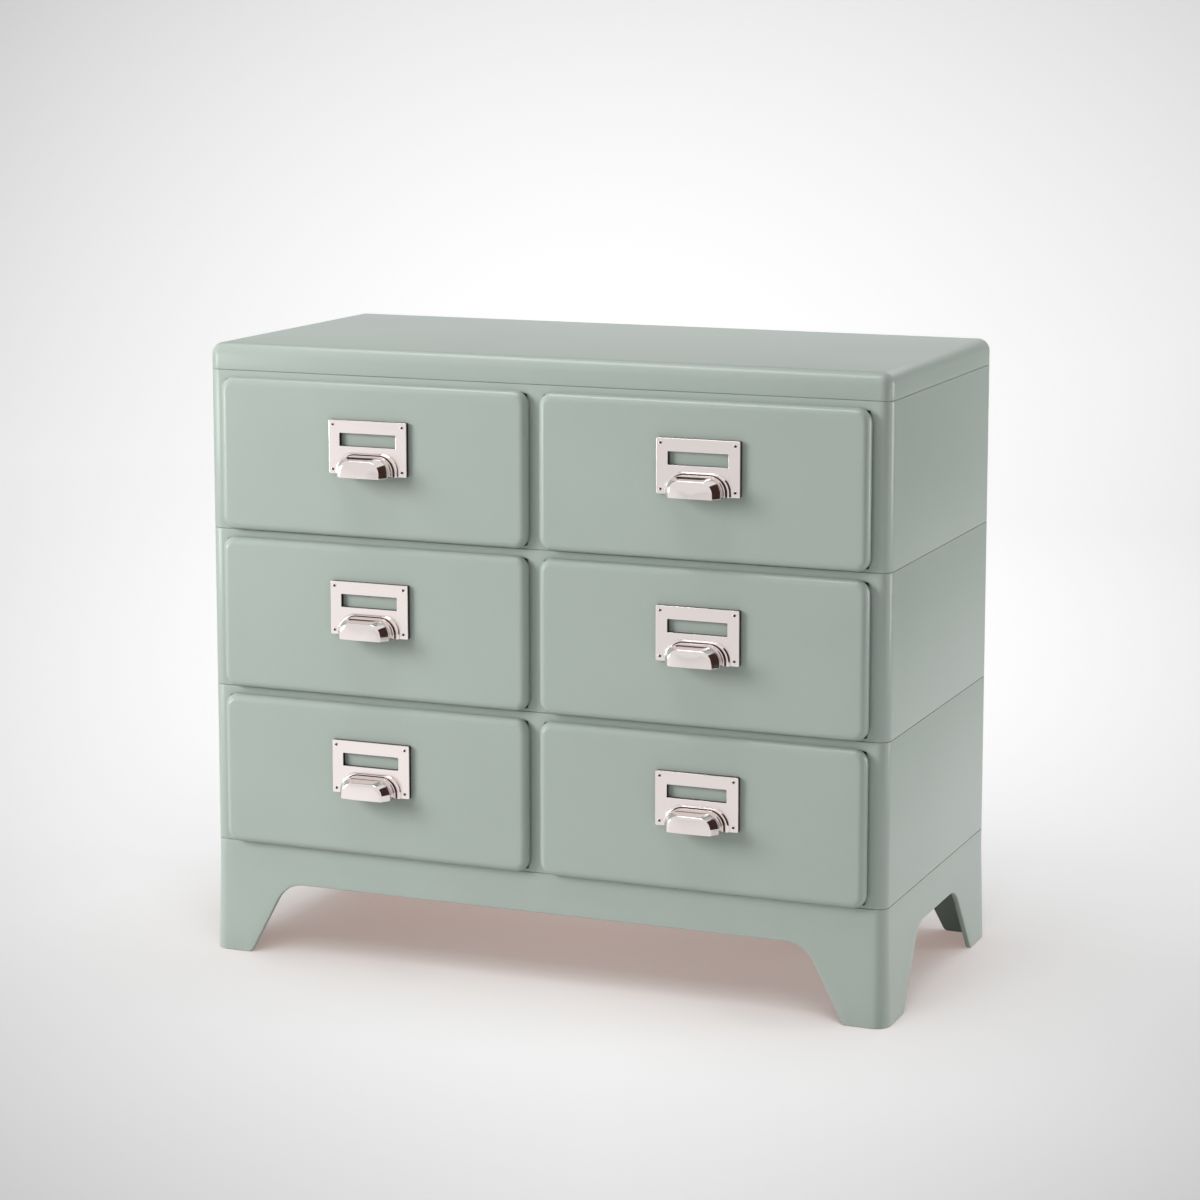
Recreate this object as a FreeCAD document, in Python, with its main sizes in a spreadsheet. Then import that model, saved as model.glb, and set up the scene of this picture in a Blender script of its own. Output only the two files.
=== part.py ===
import FreeCAD, Part

# A free-standing plastic drawer cabinet: a four-legged plinth, three stacked tiers with two
# drawers each, and a cover. Millimetres, +Z up, the drawers face -Y. The origin is on the
# floor, at the middle of the whole cabinet's outline with its pulls.

import math
import os

import Sketcher

# Driving dimensions

DRIVING = {
    "width": 760,
    "depth": 364,
    "corner_radius": 13,
    "cover_height": 28,
    "tier_height": 171,
    "base_height": 123,
    "module_wall": 4,
    "side_wall": 24.5,
    "inner_skin": 3.5,
    "partition_width": 24,
    "deck": 4,
    "cell_rib": 4,
    "cell_radius": 2,
    "cell_front": 20,
    "cell_rear": 22,
    "boss_radius": 9,
    "boss_length": 18,
    "pin_radius": 4,
    "pin_length": 28,
    "pin_inset_x": 12.5,
    "pin_inset_y": 11,
    "socket_clearance": 0.1,
    "base_wall": 5.5,
    "flare": 3,
    "flare_height": 103,
    "arch_height": 80,
    "arch_radius": 35,
    "toe_radius": 7,
    "toe_front": 46,
    "toe_side": 61,
    "front_arch_lean": 42,
    "side_arch_lean": 56,
    "back_thickness": 3,
    "back_rebate": 12,
    "back_corner_radius": 3,
    "field_inset": 12,
    "field_edge": 18,
    "field_radius": 10,
    "field_depth": 1,
    "reveal": 1,
    "cover_rim": 6,
    "cover_cell_radius": 3,
    "drawer_side_margin": 19,
    "drawer_mullion": 13,
    "drawer_top_strip": 7,
    "front_standoff": 12,
    "front_gap": 1,
    "front_edge_radius": 8,
    "front_corner_radius": 14,
    "front_skin": 3,
    "front_rim": 4,
    "aperture_width": 338,
    "aperture_low": 12,
    "aperture_high": 152,
    "aperture_radius": 6,
    "front_web": 2.5,
    "front_cell_radius": 9,
    "front_boss_radius": 5,
    "box_width": 310,
    "box_depth": 339,
    "box_low": 16,
    "box_rim": 146,
    "box_wall": 2.5,
    "box_floor": 3,
    "box_radius": 8,
    "rim_width": 332,
    "rim_thickness": 3,
    "travel": 240,
    "stop_height": 12,
    "stop_length": 24,
    "stop_play": 0.5,
    "rail_drop": 30,
    "rail_web": 3,
    "rail_front": 6,
    "rail_past": 6,
    "ledge_play": 0.4,
    "ledge_thickness": 3,
    "ledge_gap": 2,
    "lip_play": 1,
    "lip_reach": 11,
    "lip_thickness": 2.5,
    "plate_width": 90,
    "plate_height": 57,
    "plate_top": 126,
    "plate_thickness": 5,
    "sheet_thickness": 1.4,
    "window_width": 64.6,
    "window_height": 13.7,
    "window_drop": 13.5,
    "plate_corner_radius": 1.5,
    "plate_edge_radius": 0.6,
    "window_radius": 0.4,
    "plate_pin_inset": 5,
    "flange_width": 71,
    "flange_height": 23.5,
    "flange_radius": 19,
    "flange_thickness": 1.5,
    "cup_width": 62,
    "cup_height": 21.5,
    "cup_radius": 17.5,
    "shoulder_width": 59.4,
    "shoulder_height": 20.8,
    "shoulder_radius": 15.5,
    "shoulder_reach": 16.5,
    "nose_width": 49.4,
    "nose_height": 17.2,
    "nose_radius": 12,
    "pull_reach": 24,
    "cup_wall": 1.6,
    "post_spacing": 48,
    "post_height": 8,
    "post_radius": 3.5,
    "post_length": 9,
    "screw_clearance": 0.15,
    "screw_bite": 6,
    "back_screw_shank": 1.9,
    "back_screw_head": 4,
    "back_screw_rise": 1.8,
    "back_screw_length": 12,
    "rail_screw_shank": 1.45,
    "rail_screw_head": 3,
    "rail_screw_rise": 1.6,
    "pull_screw_shank": 1.95,
    "pull_screw_head": 3.5,
    "pull_screw_rise": 2,
    "front_screw_shank": 1.75,
    "front_screw_head": 3.5,
    "front_screw_rise": 2,
    "plate_pin_shank": 0.95,
    "plate_pin_head": 2,
    "plate_pin_rise": 1.1,
    "plate_pin_dome": 0.9,
}

doc = FreeCAD.newDocument("drawer_cabinet")
sheet = doc.addObject("Spreadsheet::Sheet", "Sizes")
for row, (alias, number) in enumerate(DRIVING.items(), start=1):
    sheet.set(f"A{row}", alias)
    sheet.set(f"B{row}", str(number))
    sheet.setAlias(f"B{row}", alias)
doc.recompute()


class Size:
    """A length as the sheet's expression for it, together with its present value."""

    def __init__(self, text, value):
        self.text = text
        self.value = value

    def join(self, sign, other, value):
        return Size(f"({self.text} {sign} {as_size(other).text})", value)

    def __add__(self, other):
        return self.join("+", other, self.value + as_size(other).value)

    def __sub__(self, other):
        return self.join("-", other, self.value - as_size(other).value)

    def __mul__(self, other):
        return self.join("*", other, self.value * as_size(other).value)

    def __truediv__(self, other):
        return self.join("/", other, self.value / as_size(other).value)

    def __neg__(self):
        return self * -1


def as_size(thing):
    """A Size as it is, and a plain number as a Size with no cell behind it."""
    if isinstance(thing, Size):
        return thing
    return Size(f"({thing})", float(thing))


def cell(alias):
    """The Size of one driving dimension."""
    return Size(f"Sizes.{alias}", float(sheet.get(alias)))


# Where things are, worked out from the sheet

half_width = cell("width") / 2
depth = cell("depth")
tier = cell("tier_height")
wall = cell("module_wall")
pull_front = cell("front_standoff") + cell("plate_thickness") + cell("pull_reach")
front_plane = (pull_front - depth - cell("flare")) / 2
wall_inner = half_width - cell("side_wall")
drawer_width = (cell("width") - cell("drawer_side_margin") * 2 - cell("drawer_mullion")) / 2
bay_centre = (drawer_width + cell("drawer_mullion")) / 2
bay_half = (wall_inner - cell("partition_width") / 2) / 2
aperture_half = cell("aperture_width") / 2
pin_x = half_width - cell("pin_inset_x")
pin_rear = depth - cell("pin_inset_y")
socket_radius = cell("pin_radius") + cell("socket_clearance")
socket_depth = cell("pin_length") / 2 + cell("socket_clearance")
rib = cell("cell_rib")
back_face = depth - cell("reveal")
rail_low = cell("box_rim") - cell("rail_drop")
rail_rear = cell("box_depth") + cell("rail_past")

TIERS = {
    "bottom": cell("base_height"),
    "middle": cell("base_height") + tier,
    "top": cell("base_height") + tier * 2,
}
SIDES = {"left": -bay_centre, "right": bay_centre}


# How a piece is made

def body(label, x=0, y=0, z=0):
    """A new body with a label of its own, placed by the sheet."""
    piece = doc.addObject("PartDesign::Body", label)
    piece.Label = label
    for axis, size in (("x", x), ("y", y), ("z", z)):
        piece.setExpression(f"Placement.Base.{axis}", as_size(size).text)
    return piece


def sketch(piece, role, offset=0):
    """An empty sketch on one of the body's own planes, moved along the plane's normal."""
    drawing = piece.newObject("Sketcher::SketchObject", f"{piece.Name}_sketch")
    planes = [item for item in piece.Origin.OriginFeatures if item.Role == role]
    drawing.AttachmentSupport = [(planes[0], "")]
    drawing.MapMode = "FlatFace"
    drawing.setExpression("AttachmentOffset.Base.z", as_size(offset).text)
    return drawing


def fix(drawing, kind, *place, size):
    """A dimension of a sketch that the sheet drives."""
    size = as_size(size)
    number = drawing.addConstraint(Sketcher.Constraint(kind, *place, size.value))
    drawing.setExpression(f"Constraints[{number}]", size.text)


def pin_point(drawing, geometry, end, x, y):
    """Holds one point of a sketch at x, y from its origin."""
    fix(drawing, "DistanceX", -1, 1, geometry, end, size=x)
    fix(drawing, "DistanceY", -1, 1, geometry, end, size=y)


def outline(drawing, corners):
    """A closed outline through corners (x, y, radius), rounded by an arc where there is a radius."""
    vector = FreeCAD.Vector
    points = [vector(as_size(x).value, as_size(y).value, 0) for x, y, radius in corners]
    count = len(points)
    starts, ends, arcs = [], [], []
    for i, point in enumerate(points):
        arrive = (point - points[i - 1]).normalize()
        leave = (points[(i + 1) % count] - point).normalize()
        radius = as_size(corners[i][2]).value
        turn = math.atan2(arrive.cross(leave).z, arrive.dot(leave))
        reach = radius * math.tan(abs(turn) / 2)
        ends.append(point - arrive * reach)
        starts.append(point + leave * reach)
        inward = vector(-arrive.y, arrive.x, 0) * math.copysign(1, turn)
        arcs.append((ends[i] + inward * radius, radius, turn) if radius else None)
    lines = [
        drawing.addGeometry(Part.LineSegment(starts[i], ends[(i + 1) % count]), False)
        for i in range(count)
    ]
    for i, (x, y, radius) in enumerate(corners):
        before, after = lines[i - 1], lines[i]
        if arcs[i] is None:
            drawing.addConstraint(Sketcher.Constraint("Coincident", before, 2, after, 1))
            pin_point(drawing, after, 1, x, y)
            continue
        centre, arc_radius, turn = arcs[i]
        first, last = (ends[i], starts[i]) if turn > 0 else (starts[i], ends[i])
        angles = [math.atan2(p.y - centre.y, p.x - centre.x) for p in (first, last)]
        circle = Part.Circle(centre, vector(0, 0, 1), arc_radius)
        arc = drawing.addGeometry(Part.ArcOfCircle(circle, *angles), False)
        joins = (1, 2) if turn > 0 else (2, 1)
        corner = drawing.addGeometry(Part.Point(points[i]), True)
        drawing.addConstraint([
            Sketcher.Constraint("Tangent", before, 2, arc, joins[0]),
            Sketcher.Constraint("Tangent", arc, joins[1], after, 1),
            Sketcher.Constraint("PointOnObject", corner, 1, before),
            Sketcher.Constraint("PointOnObject", corner, 1, after),
        ])
        fix(drawing, "Radius", arc, size=radius)
        pin_point(drawing, corner, 1, x, y)


def rectangle(drawing, x0, x1, y0, y1, radius=0):
    """A rectangle between two corners, all four rounded alike."""
    outline(drawing, [(x0, y0, radius), (x1, y0, radius), (x1, y1, radius), (x0, y1, radius)])


def circles(drawing, centres, radius):
    """Equal circles, each held at its centre."""
    for x, y in centres:
        middle = FreeCAD.Vector(as_size(x).value, as_size(y).value, 0)
        ring = Part.Circle(middle, FreeCAD.Vector(0, 0, 1), as_size(radius).value)
        number = drawing.addGeometry(ring, False)
        fix(drawing, "Radius", number, size=radius)
        pin_point(drawing, number, 3, x, y)


def extrude(piece, kind, drawing, length, backwards=False):
    """A Pad along the sketch's normal, or a Pocket against it; backwards turns either round."""
    feature = piece.newObject(f"PartDesign::{kind}", f"{piece.Name}_{kind.lower()}")
    feature.Profile = drawing
    feature.Reversed = backwards
    feature.setExpression("Length", as_size(length).text)
    drawing.Visibility = False
    return feature


def loft(piece, kind, drawings):
    """A ruled loft through sketches of the same make-up, added or cut away."""
    feature = piece.newObject(f"PartDesign::{kind}", f"{piece.Name}_{kind.lower()}")
    feature.Profile = drawings[0]
    feature.Sections = drawings[1:]
    feature.Ruled = True
    return feature


def repeat(piece, feature, *ways):
    """Repeats a feature along the body's axes; each way is (axis, whole length, count)."""
    patterns = []
    for role, length, count in ways:
        pattern = piece.newObject("PartDesign::LinearPattern", f"{piece.Name}_pattern")
        axes = [item for item in piece.Origin.OriginFeatures if item.Role == role]
        pattern.Direction = (axes[0], [""])
        pattern.setExpression("Length", as_size(length).text)
        pattern.Occurrences = count
        patterns.append(pattern)
    if len(patterns) == 1:
        patterns[0].Originals = [feature]
        piece.Tip = patterns[0]
        return patterns[0]
    grid = piece.newObject("PartDesign::MultiTransform", f"{piece.Name}_grid")
    grid.Originals = [feature]
    grid.Transformations = patterns
    piece.Tip = grid
    return grid


def round_edges(piece, base, radius, wanted):
    """A Fillet on those edges of a feature that the test picks."""
    doc.recompute()
    names = [
        f"Edge{number}"
        for number, edge in enumerate(base.Shape.Edges, start=1)
        if wanted(edge)
    ]
    feature = piece.newObject("PartDesign::Fillet", f"{piece.Name}_fillet")
    feature.Base = (base, names)
    feature.setExpression("Radius", as_size(radius).text)
    return feature


def upright(edge):
    """An edge that runs straight up."""
    return edge.BoundBox.XLength + edge.BoundBox.YLength < 0.01


def level_at(axis, size):
    """A test for edges that lie in one plane square to an axis."""
    at = as_size(size).value

    def wanted(edge):
        ends = (getattr(edge.BoundBox, f"{axis}Min"), getattr(edge.BoundBox, f"{axis}Max"))
        return all(abs(end - at) < 0.01 for end in ends)

    return wanted


def ordered(one, other):
    """Two sizes, the lower one first."""
    return sorted((one, other), key=lambda size: size.value)


def mirrored(*places):
    """Places in the right half, followed by the same places in the left half."""
    return [(as_size(x) * side, y) for side in (1, -1) for x, y in places]


def pin_places():
    """The four corners where pins join one module to the next."""
    return mirrored((pin_x, cell("pin_inset_y")), (pin_x, pin_rear))


def back_screw_places():
    """Three screws up each side of a back panel."""
    x = wall_inner + cell("back_rebate") / 2
    return mirrored((x, as_size(20)), (x, tier / 2), (x, tier - 20))


def rail_screw_places():
    """Three screws along a runner rail, below its ledge."""
    low = rail_low + 8
    return [(as_size(40), low), (depth / 2, low), (depth - 50, low)]


def hole(kind):
    """The radius of the hole that one kind of screw or pin goes through."""
    return cell(f"{kind}_shank") + cell("screw_clearance")


def screws(piece, kind, role, face, places, length, backwards=False):
    """Round-headed screws: shanks go into the face against the sketch's normal, heads stand on it."""
    shanks = sketch(piece, role, face)
    circles(shanks, places, cell(f"{kind}_shank"))
    extrude(piece, "Pad", shanks, length, backwards=not backwards)
    heads = sketch(piece, role, face)
    circles(heads, places, cell(f"{kind}_head"))
    return extrude(piece, "Pad", heads, cell(f"{kind}_rise"), backwards=backwards)


def block(piece, height):
    """A block with the cabinet's plan, its corners still sharp."""
    plan = sketch(piece, "XY_Plane")
    rectangle(plan, -half_width, half_width, 0, depth)
    return extrude(piece, "Pad", plan, height)


# The carcass

def make_base_plinth():
    """Four splayed legs in one moulding: a flared shell with an arch cut through each side."""
    piece = body("base_plinth", y=front_plane)
    knee = cell("flare_height")
    straight = cell("base_height") - knee
    flare = cell("flare")
    inset = cell("base_wall")

    def ring(height, growth):
        plan = sketch(piece, "XY_Plane", height)
        across = half_width + growth
        rectangle(plan, -across, across, -growth, depth + growth, cell("corner_radius") + growth)
        return plan

    loft(piece, "AdditiveLoft", [ring(0, flare), ring(knee, as_size(0))])
    extrude(piece, "Pad", ring(knee, as_size(0)), straight)
    loft(piece, "SubtractiveLoft", [ring(0, flare - inset), ring(knee, -inset)])
    extrude(piece, "Pocket", ring(knee, -inset), straight - inset, backwards=True)

    bosses = sketch(piece, "XY_Plane", cell("base_height") - inset)
    circles(bosses, pin_places(), cell("boss_radius"))
    extrude(piece, "Pad", bosses, cell("boss_length"), backwards=True)
    sockets = sketch(piece, "XY_Plane", cell("base_height"))
    circles(sockets, pin_places(), socket_radius)
    extrude(piece, "Pocket", sockets, socket_depth)

    def arch(role, offset, start, end, lean, length):
        drawing = sketch(piece, role, offset)
        toe = cell("toe_radius")
        crown = cell("arch_radius")
        height = cell("arch_height")
        spread = toe * 2
        outline(drawing, [
            (start - spread, -spread, 0),
            (end + spread, -spread, 0),
            (end + spread, 0, 0),
            (end, 0, toe),
            (end - lean, height, crown),
            (start + lean, height, crown),
            (start, 0, toe),
            (start - spread, 0, 0),
        ])
        extrude(piece, "Pocket", drawing, length)

    foot = half_width + flare - cell("toe_front")
    arch("XZ_Plane", flare * 2, -foot, foot, cell("front_arch_lean"), depth + flare * 4)
    side_from = cell("toe_side") - flare
    side_to = depth - side_from
    across = cell("width") + flare * 4
    arch("YZ_Plane", half_width + flare * 2, side_from, side_to, cell("side_arch_lean"), across)


def make_tier_frame(name, height):
    """One tier's moulding: a deck, two hollow side walls and a front wall with two drawer mouths."""
    piece = body(f"tier_frame_{name}", y=front_plane, z=height)
    solid = block(piece, tier)
    round_edges(piece, solid, cell("corner_radius"), upright)

    bay = sketch(piece, "XY_Plane", tier)
    rectangle(bay, -wall_inner, wall_inner, wall, depth + 1)
    extrude(piece, "Pocket", bay, tier - cell("deck"))

    mouths = sketch(piece, "XZ_Plane", 1)
    for centre in SIDES.values():
        low, high = cell("aperture_low"), cell("aperture_high")
        left, right = centre - aperture_half, centre + aperture_half
        rectangle(mouths, left, right, low, high, cell("aperture_radius"))
    extrude(piece, "Pocket", mouths, wall + 2)

    hollow_cells = 3
    first_cell = cell("cell_front")
    step = (depth - cell("cell_rear") - first_cell + rib) / hollow_cells
    for side in (1, -1):
        hollow = sketch(piece, "XY_Plane", tier)
        near, far = ordered((wall_inner + cell("inner_skin")) * side, (half_width - wall) * side)
        rectangle(hollow, near, far, first_cell, first_cell + step - rib, cell("cell_radius"))
        first = extrude(piece, "Pocket", hollow, tier - cell("deck"))
        repeat(piece, first, ("Y_Axis", step * (hollow_cells - 1), hollow_cells))

    rebate = sketch(piece, "XY_Plane", tier + 1)
    edge = wall_inner + cell("back_rebate")
    rectangle(rebate, -edge, edge, depth - cell("back_thickness") - cell("reveal"), depth + 1)
    extrude(piece, "Pocket", rebate, tier + 2)

    top_sockets = sketch(piece, "XY_Plane", tier)
    circles(top_sockets, pin_places(), socket_radius)
    extrude(piece, "Pocket", top_sockets, socket_depth)
    low_sockets = sketch(piece, "XY_Plane")
    circles(low_sockets, pin_places(), socket_radius)
    extrude(piece, "Pocket", low_sockets, socket_depth, backwards=True)

    back_holes = sketch(piece, "XZ_Plane", -depth)
    circles(back_holes, back_screw_places(), hole("back_screw"))
    extrude(piece, "Pocket", back_holes, cell("back_screw_length") + 1, backwards=True)
    for side in (1, -1):
        rail_holes = sketch(piece, "YZ_Plane", wall_inner * side)
        circles(rail_holes, rail_screw_places(), hole("rail_screw"))
        extrude(piece, "Pocket", rail_holes, cell("inner_skin") + 1, backwards=side > 0)


def make_centre_partition(name, height):
    """The hollow upright between the two bays of a tier."""
    piece = body(f"centre_partition_{name}", y=front_plane, z=height + cell("deck"))
    half = cell("partition_width") / 2
    rear = back_face - cell("back_thickness")
    plan = sketch(piece, "XY_Plane")
    rectangle(plan, -half, half, wall, rear)
    extrude(piece, "Pad", plan, tier - cell("deck"))
    hollow = sketch(piece, "XY_Plane", tier - cell("deck"))
    hollow_cells = 4
    step = (rear - wall - rib) / hollow_cells
    inner = half - cell("inner_skin")
    rectangle(hollow, -inner, inner, wall + rib, wall + step, cell("cell_radius"))
    first = extrude(piece, "Pocket", hollow, tier - cell("deck") * 2)
    repeat(piece, first, ("Y_Axis", step * (hollow_cells - 1), hollow_cells))
    for side in (1, -1):
        holes = sketch(piece, "YZ_Plane", half * side)
        places = [(y, z - cell("deck")) for y, z in rail_screw_places()]
        circles(holes, places, hole("rail_screw"))
        extrude(piece, "Pocket", holes, cell("inner_skin") + 1, backwards=side < 0)


def make_runner_rails(name, height):
    """Four plastic rails: a web on the wall, a ledge that carries the drawer's rim and a lip above it."""
    piece = body(f"runner_rails_{name}", y=front_plane, z=height)
    thick = cell("rail_web")
    ledge = bay_half - cell("box_width") / 2 - cell("ledge_gap")
    ledge_top = cell("box_rim") - cell("rim_thickness") - cell("ledge_play")
    ledge_low = ledge_top - cell("ledge_thickness")
    lip_low = cell("box_rim") + cell("lip_play")
    lip_top = lip_low + cell("lip_thickness")
    stop_face = cell("box_depth") - cell("stop_play")
    section = sketch(piece, "XZ_Plane", -cell("rail_front"))
    stops = sketch(piece, "XZ_Plane", -stop_face)
    for centre in SIDES.values():
        for side in (1, -1):
            web = centre + bay_half * side
            inner = web - thick * side
            ledge_end = web - ledge * side
            lip_end = web - cell("lip_reach") * side
            outline(section, [
                (web, rail_low, 0),
                (inner, rail_low, 0),
                (inner, ledge_low, 0),
                (ledge_end, ledge_low, 0),
                (ledge_end, ledge_top, 0),
                (inner, ledge_top, 0),
                (inner, lip_low, 0),
                (lip_end, lip_low, 0),
                (lip_end, lip_top, 0),
                (web, lip_top, 0),
            ])
            near, far = ordered(inner, ledge_end)
            rectangle(stops, near, far, ledge_top, lip_top)
    extrude(piece, "Pad", section, rail_rear - cell("rail_front"), backwards=True)
    extrude(piece, "Pad", stops, rail_rear - stop_face, backwards=True)
    for centre in SIDES.values():
        for side in (1, -1):
            holes = sketch(piece, "YZ_Plane", centre + bay_half * side)
            circles(holes, rail_screw_places(), hole("rail_screw"))
            extrude(piece, "Pocket", holes, thick + 1, backwards=side < 0)


def make_back_panel(name, height):
    """A tier's back: a thin panel with one shallow field behind each bay."""
    piece = body(f"back_panel_{name}", y=front_plane, z=height)
    margin = cell("reveal")
    edge = wall_inner + cell("back_rebate") - margin
    face = sketch(piece, "XZ_Plane", -back_face)
    rectangle(face, -edge, edge, margin, tier - margin, cell("back_corner_radius"))
    extrude(piece, "Pad", face, cell("back_thickness"))
    fields = sketch(piece, "XZ_Plane", -back_face)
    half = bay_half - cell("field_inset")
    low, high = cell("field_edge"), tier - cell("field_edge")
    for centre in SIDES.values():
        rectangle(fields, centre - half, centre + half, low, high, cell("field_radius"))
    extrude(piece, "Pocket", fields, cell("field_depth"), backwards=True)
    holes = sketch(piece, "XZ_Plane", -back_face)
    circles(holes, back_screw_places(), hole("back_screw"))
    extrude(piece, "Pocket", holes, cell("back_thickness") + 1, backwards=True)


def make_top_cover():
    """The lid: a block with rounded edges, cored out from below between ribs."""
    piece = body("top_cover", y=front_plane, z=TIERS["top"] + tier)
    height = cell("cover_height")
    solid = block(piece, height)
    top_edges = level_at("Z", height)
    round_edges(piece, solid, cell("corner_radius"), lambda edge: upright(edge) or top_edges(edge))
    core = sketch(piece, "XY_Plane")
    along, across = 6, 3
    rim = cell("cover_rim")
    step_x = (wall_inner * 2 + rib) / along
    step_y = (depth - rim * 2 + rib) / across
    right, rear = step_x - rib - wall_inner, rim + step_y - rib
    rectangle(core, -wall_inner, right, rim, rear, cell("cover_cell_radius"))
    first = extrude(piece, "Pocket", core, height - wall, backwards=True)
    ways = [("X_Axis", step_x * (along - 1), along), ("Y_Axis", step_y * (across - 1), across)]
    repeat(piece, first, *ways)
    sockets = sketch(piece, "XY_Plane")
    circles(sockets, pin_places(), socket_radius)
    extrude(piece, "Pocket", sockets, socket_depth, backwards=True)


def make_stacking_pins():
    """Sixteen plain pins, four between each module and the next."""
    piece = body("stacking_pins", y=front_plane)
    length = cell("pin_length")
    for height in (*TIERS.values(), TIERS["top"] + tier):
        plan = sketch(piece, "XY_Plane", height - length / 2)
        circles(plan, pin_places(), cell("pin_radius"))
        extrude(piece, "Pad", plan, length)


def make_back_screws():
    """The screws that hold the three back panels."""
    piece = body("back_screws", y=front_plane)
    length = cell("back_screw_length")
    for height in TIERS.values():
        places = [(x, z + height) for x, z in back_screw_places()]
        screws(piece, "back_screw", "XZ_Plane", -back_face, places, length, backwards=True)


def make_rail_screws():
    """The screws that hold the twelve runner rails."""
    piece = body("rail_screws", y=front_plane)
    length = cell("rail_web") + cell("inner_skin")
    for height in TIERS.values():
        places = [(y, z + height) for y, z in rail_screw_places()]
        for centre in SIDES.values():
            for side in (1, -1):
                face = centre + (bay_half - cell("rail_web")) * side
                screws(piece, "rail_screw", "YZ_Plane", face, places, length, backwards=side > 0)


# A drawer, in its own frame: x from its middle, y from the carcass front, z from its tier's floor

front_low = cell("reveal")
front_high = tier - cell("drawer_top_strip")
front_face = cell("front_standoff")
plate_face = front_face + cell("plate_thickness")
plate_low = cell("plate_top") - cell("plate_height")
front_back = cell("front_gap")
skin_inner = front_face - cell("front_skin")
box_half = cell("box_width") / 2


def front_screw_places():
    """The four screws that hold a front to its tray."""
    return mirrored((as_size(120), as_size(44)), (as_size(120), as_size(122)))


def plate_pin_places():
    """The four pins near the corners of a label plate."""
    x = cell("plate_width") / 2 - cell("plate_pin_inset")
    inset = cell("plate_pin_inset")
    return mirrored((x, plate_low + inset), (x, cell("plate_top") - inset))


def pull_screw_places():
    """The two screws that hold a cup pull through the front and the plate."""
    return mirrored((cell("post_spacing") / 2, plate_low + cell("post_height")))


def make_drawer_front(label, **place):
    """The thick front: a hollow-backed moulding with a big soft edge and bosses for its screws."""
    piece = body(label, **place)
    half = drawer_width / 2
    face = sketch(piece, "XZ_Plane", front_back)
    rectangle(face, -half, half, front_low, front_high, cell("front_corner_radius"))
    solid = extrude(piece, "Pad", face, front_face - front_back)
    round_edges(piece, solid, cell("front_edge_radius"), level_at("Y", -front_face))

    core = sketch(piece, "XZ_Plane", front_back)
    columns, rows = 5, 2
    left = cell("front_rim") - half
    low = front_low + cell("front_rim")
    web = cell("front_web")
    step_x = (drawer_width - cell("front_rim") * 2 + web) / columns
    step_z = (front_high - front_low - cell("front_rim") * 2 + web) / rows
    right, high = left + step_x - web, low + step_z - web
    rectangle(core, left, right, low, high, cell("front_cell_radius"))
    first = extrude(piece, "Pocket", core, skin_inner - front_back, backwards=True)
    ways = [("X_Axis", step_x * (columns - 1), columns), ("Z_Axis", step_z * (rows - 1), rows)]
    repeat(piece, first, *ways)

    bosses = sketch(piece, "XZ_Plane", front_back)
    circles(bosses, front_screw_places(), cell("front_boss_radius"))
    extrude(piece, "Pad", bosses, skin_inner - front_back)
    screw_holes = sketch(piece, "XZ_Plane", front_back)
    circles(screw_holes, front_screw_places(), hole("front_screw"))
    extrude(piece, "Pocket", screw_holes, cell("screw_bite") + 1, backwards=True)
    through = sketch(piece, "XZ_Plane", front_face)
    circles(through, plate_pin_places(), hole("plate_pin"))
    circles(through, pull_screw_places(), hole("pull_screw"))
    extrude(piece, "Pocket", through, cell("front_skin") + 1)


def make_drawer_box(label, **place):
    """The tray: thin walls, a rim that runs on the rails and two stops that catch the front wall."""
    piece = body(label, **place)
    low, rim = cell("box_low"), cell("box_rim")
    rear = cell("box_depth") - front_back
    tray = sketch(piece, "XY_Plane", low)
    rectangle(tray, -box_half, box_half, -front_back, rear, cell("box_radius"))
    solid = extrude(piece, "Pad", tray, rim - low)
    round_edges(piece, solid, cell("box_radius") * 0.75, level_at("Z", low))

    flange = sketch(piece, "XY_Plane", rim - cell("rim_thickness"))
    half = cell("rim_width") / 2
    rectangle(flange, -half, half, wall + 1, rear, cell("box_radius") * 0.75)
    extrude(piece, "Pad", flange, cell("rim_thickness"))

    inside = sketch(piece, "XY_Plane", rim)
    thin = cell("box_wall")
    inner = box_half - thin
    rectangle(inside, -inner, inner, thin - front_back, rear - thin, cell("box_radius") - thin)
    extrude(piece, "Pocket", inside, rim - low - cell("box_floor"))

    stops = sketch(piece, "XY_Plane", rim - 1)
    stop_front = wall + cell("travel") + cell("stop_play")
    for side in (1, -1):
        near, far = ordered(box_half * side, (box_half - thin) * side)
        rectangle(stops, near, far, stop_front, stop_front + cell("stop_length"))
    extrude(piece, "Pad", stops, cell("stop_height") + 1)

    holes = sketch(piece, "XZ_Plane", front_back + 1)
    circles(holes, front_screw_places(), hole("front_screw"))
    extrude(piece, "Pocket", holes, thin + 2)


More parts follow.
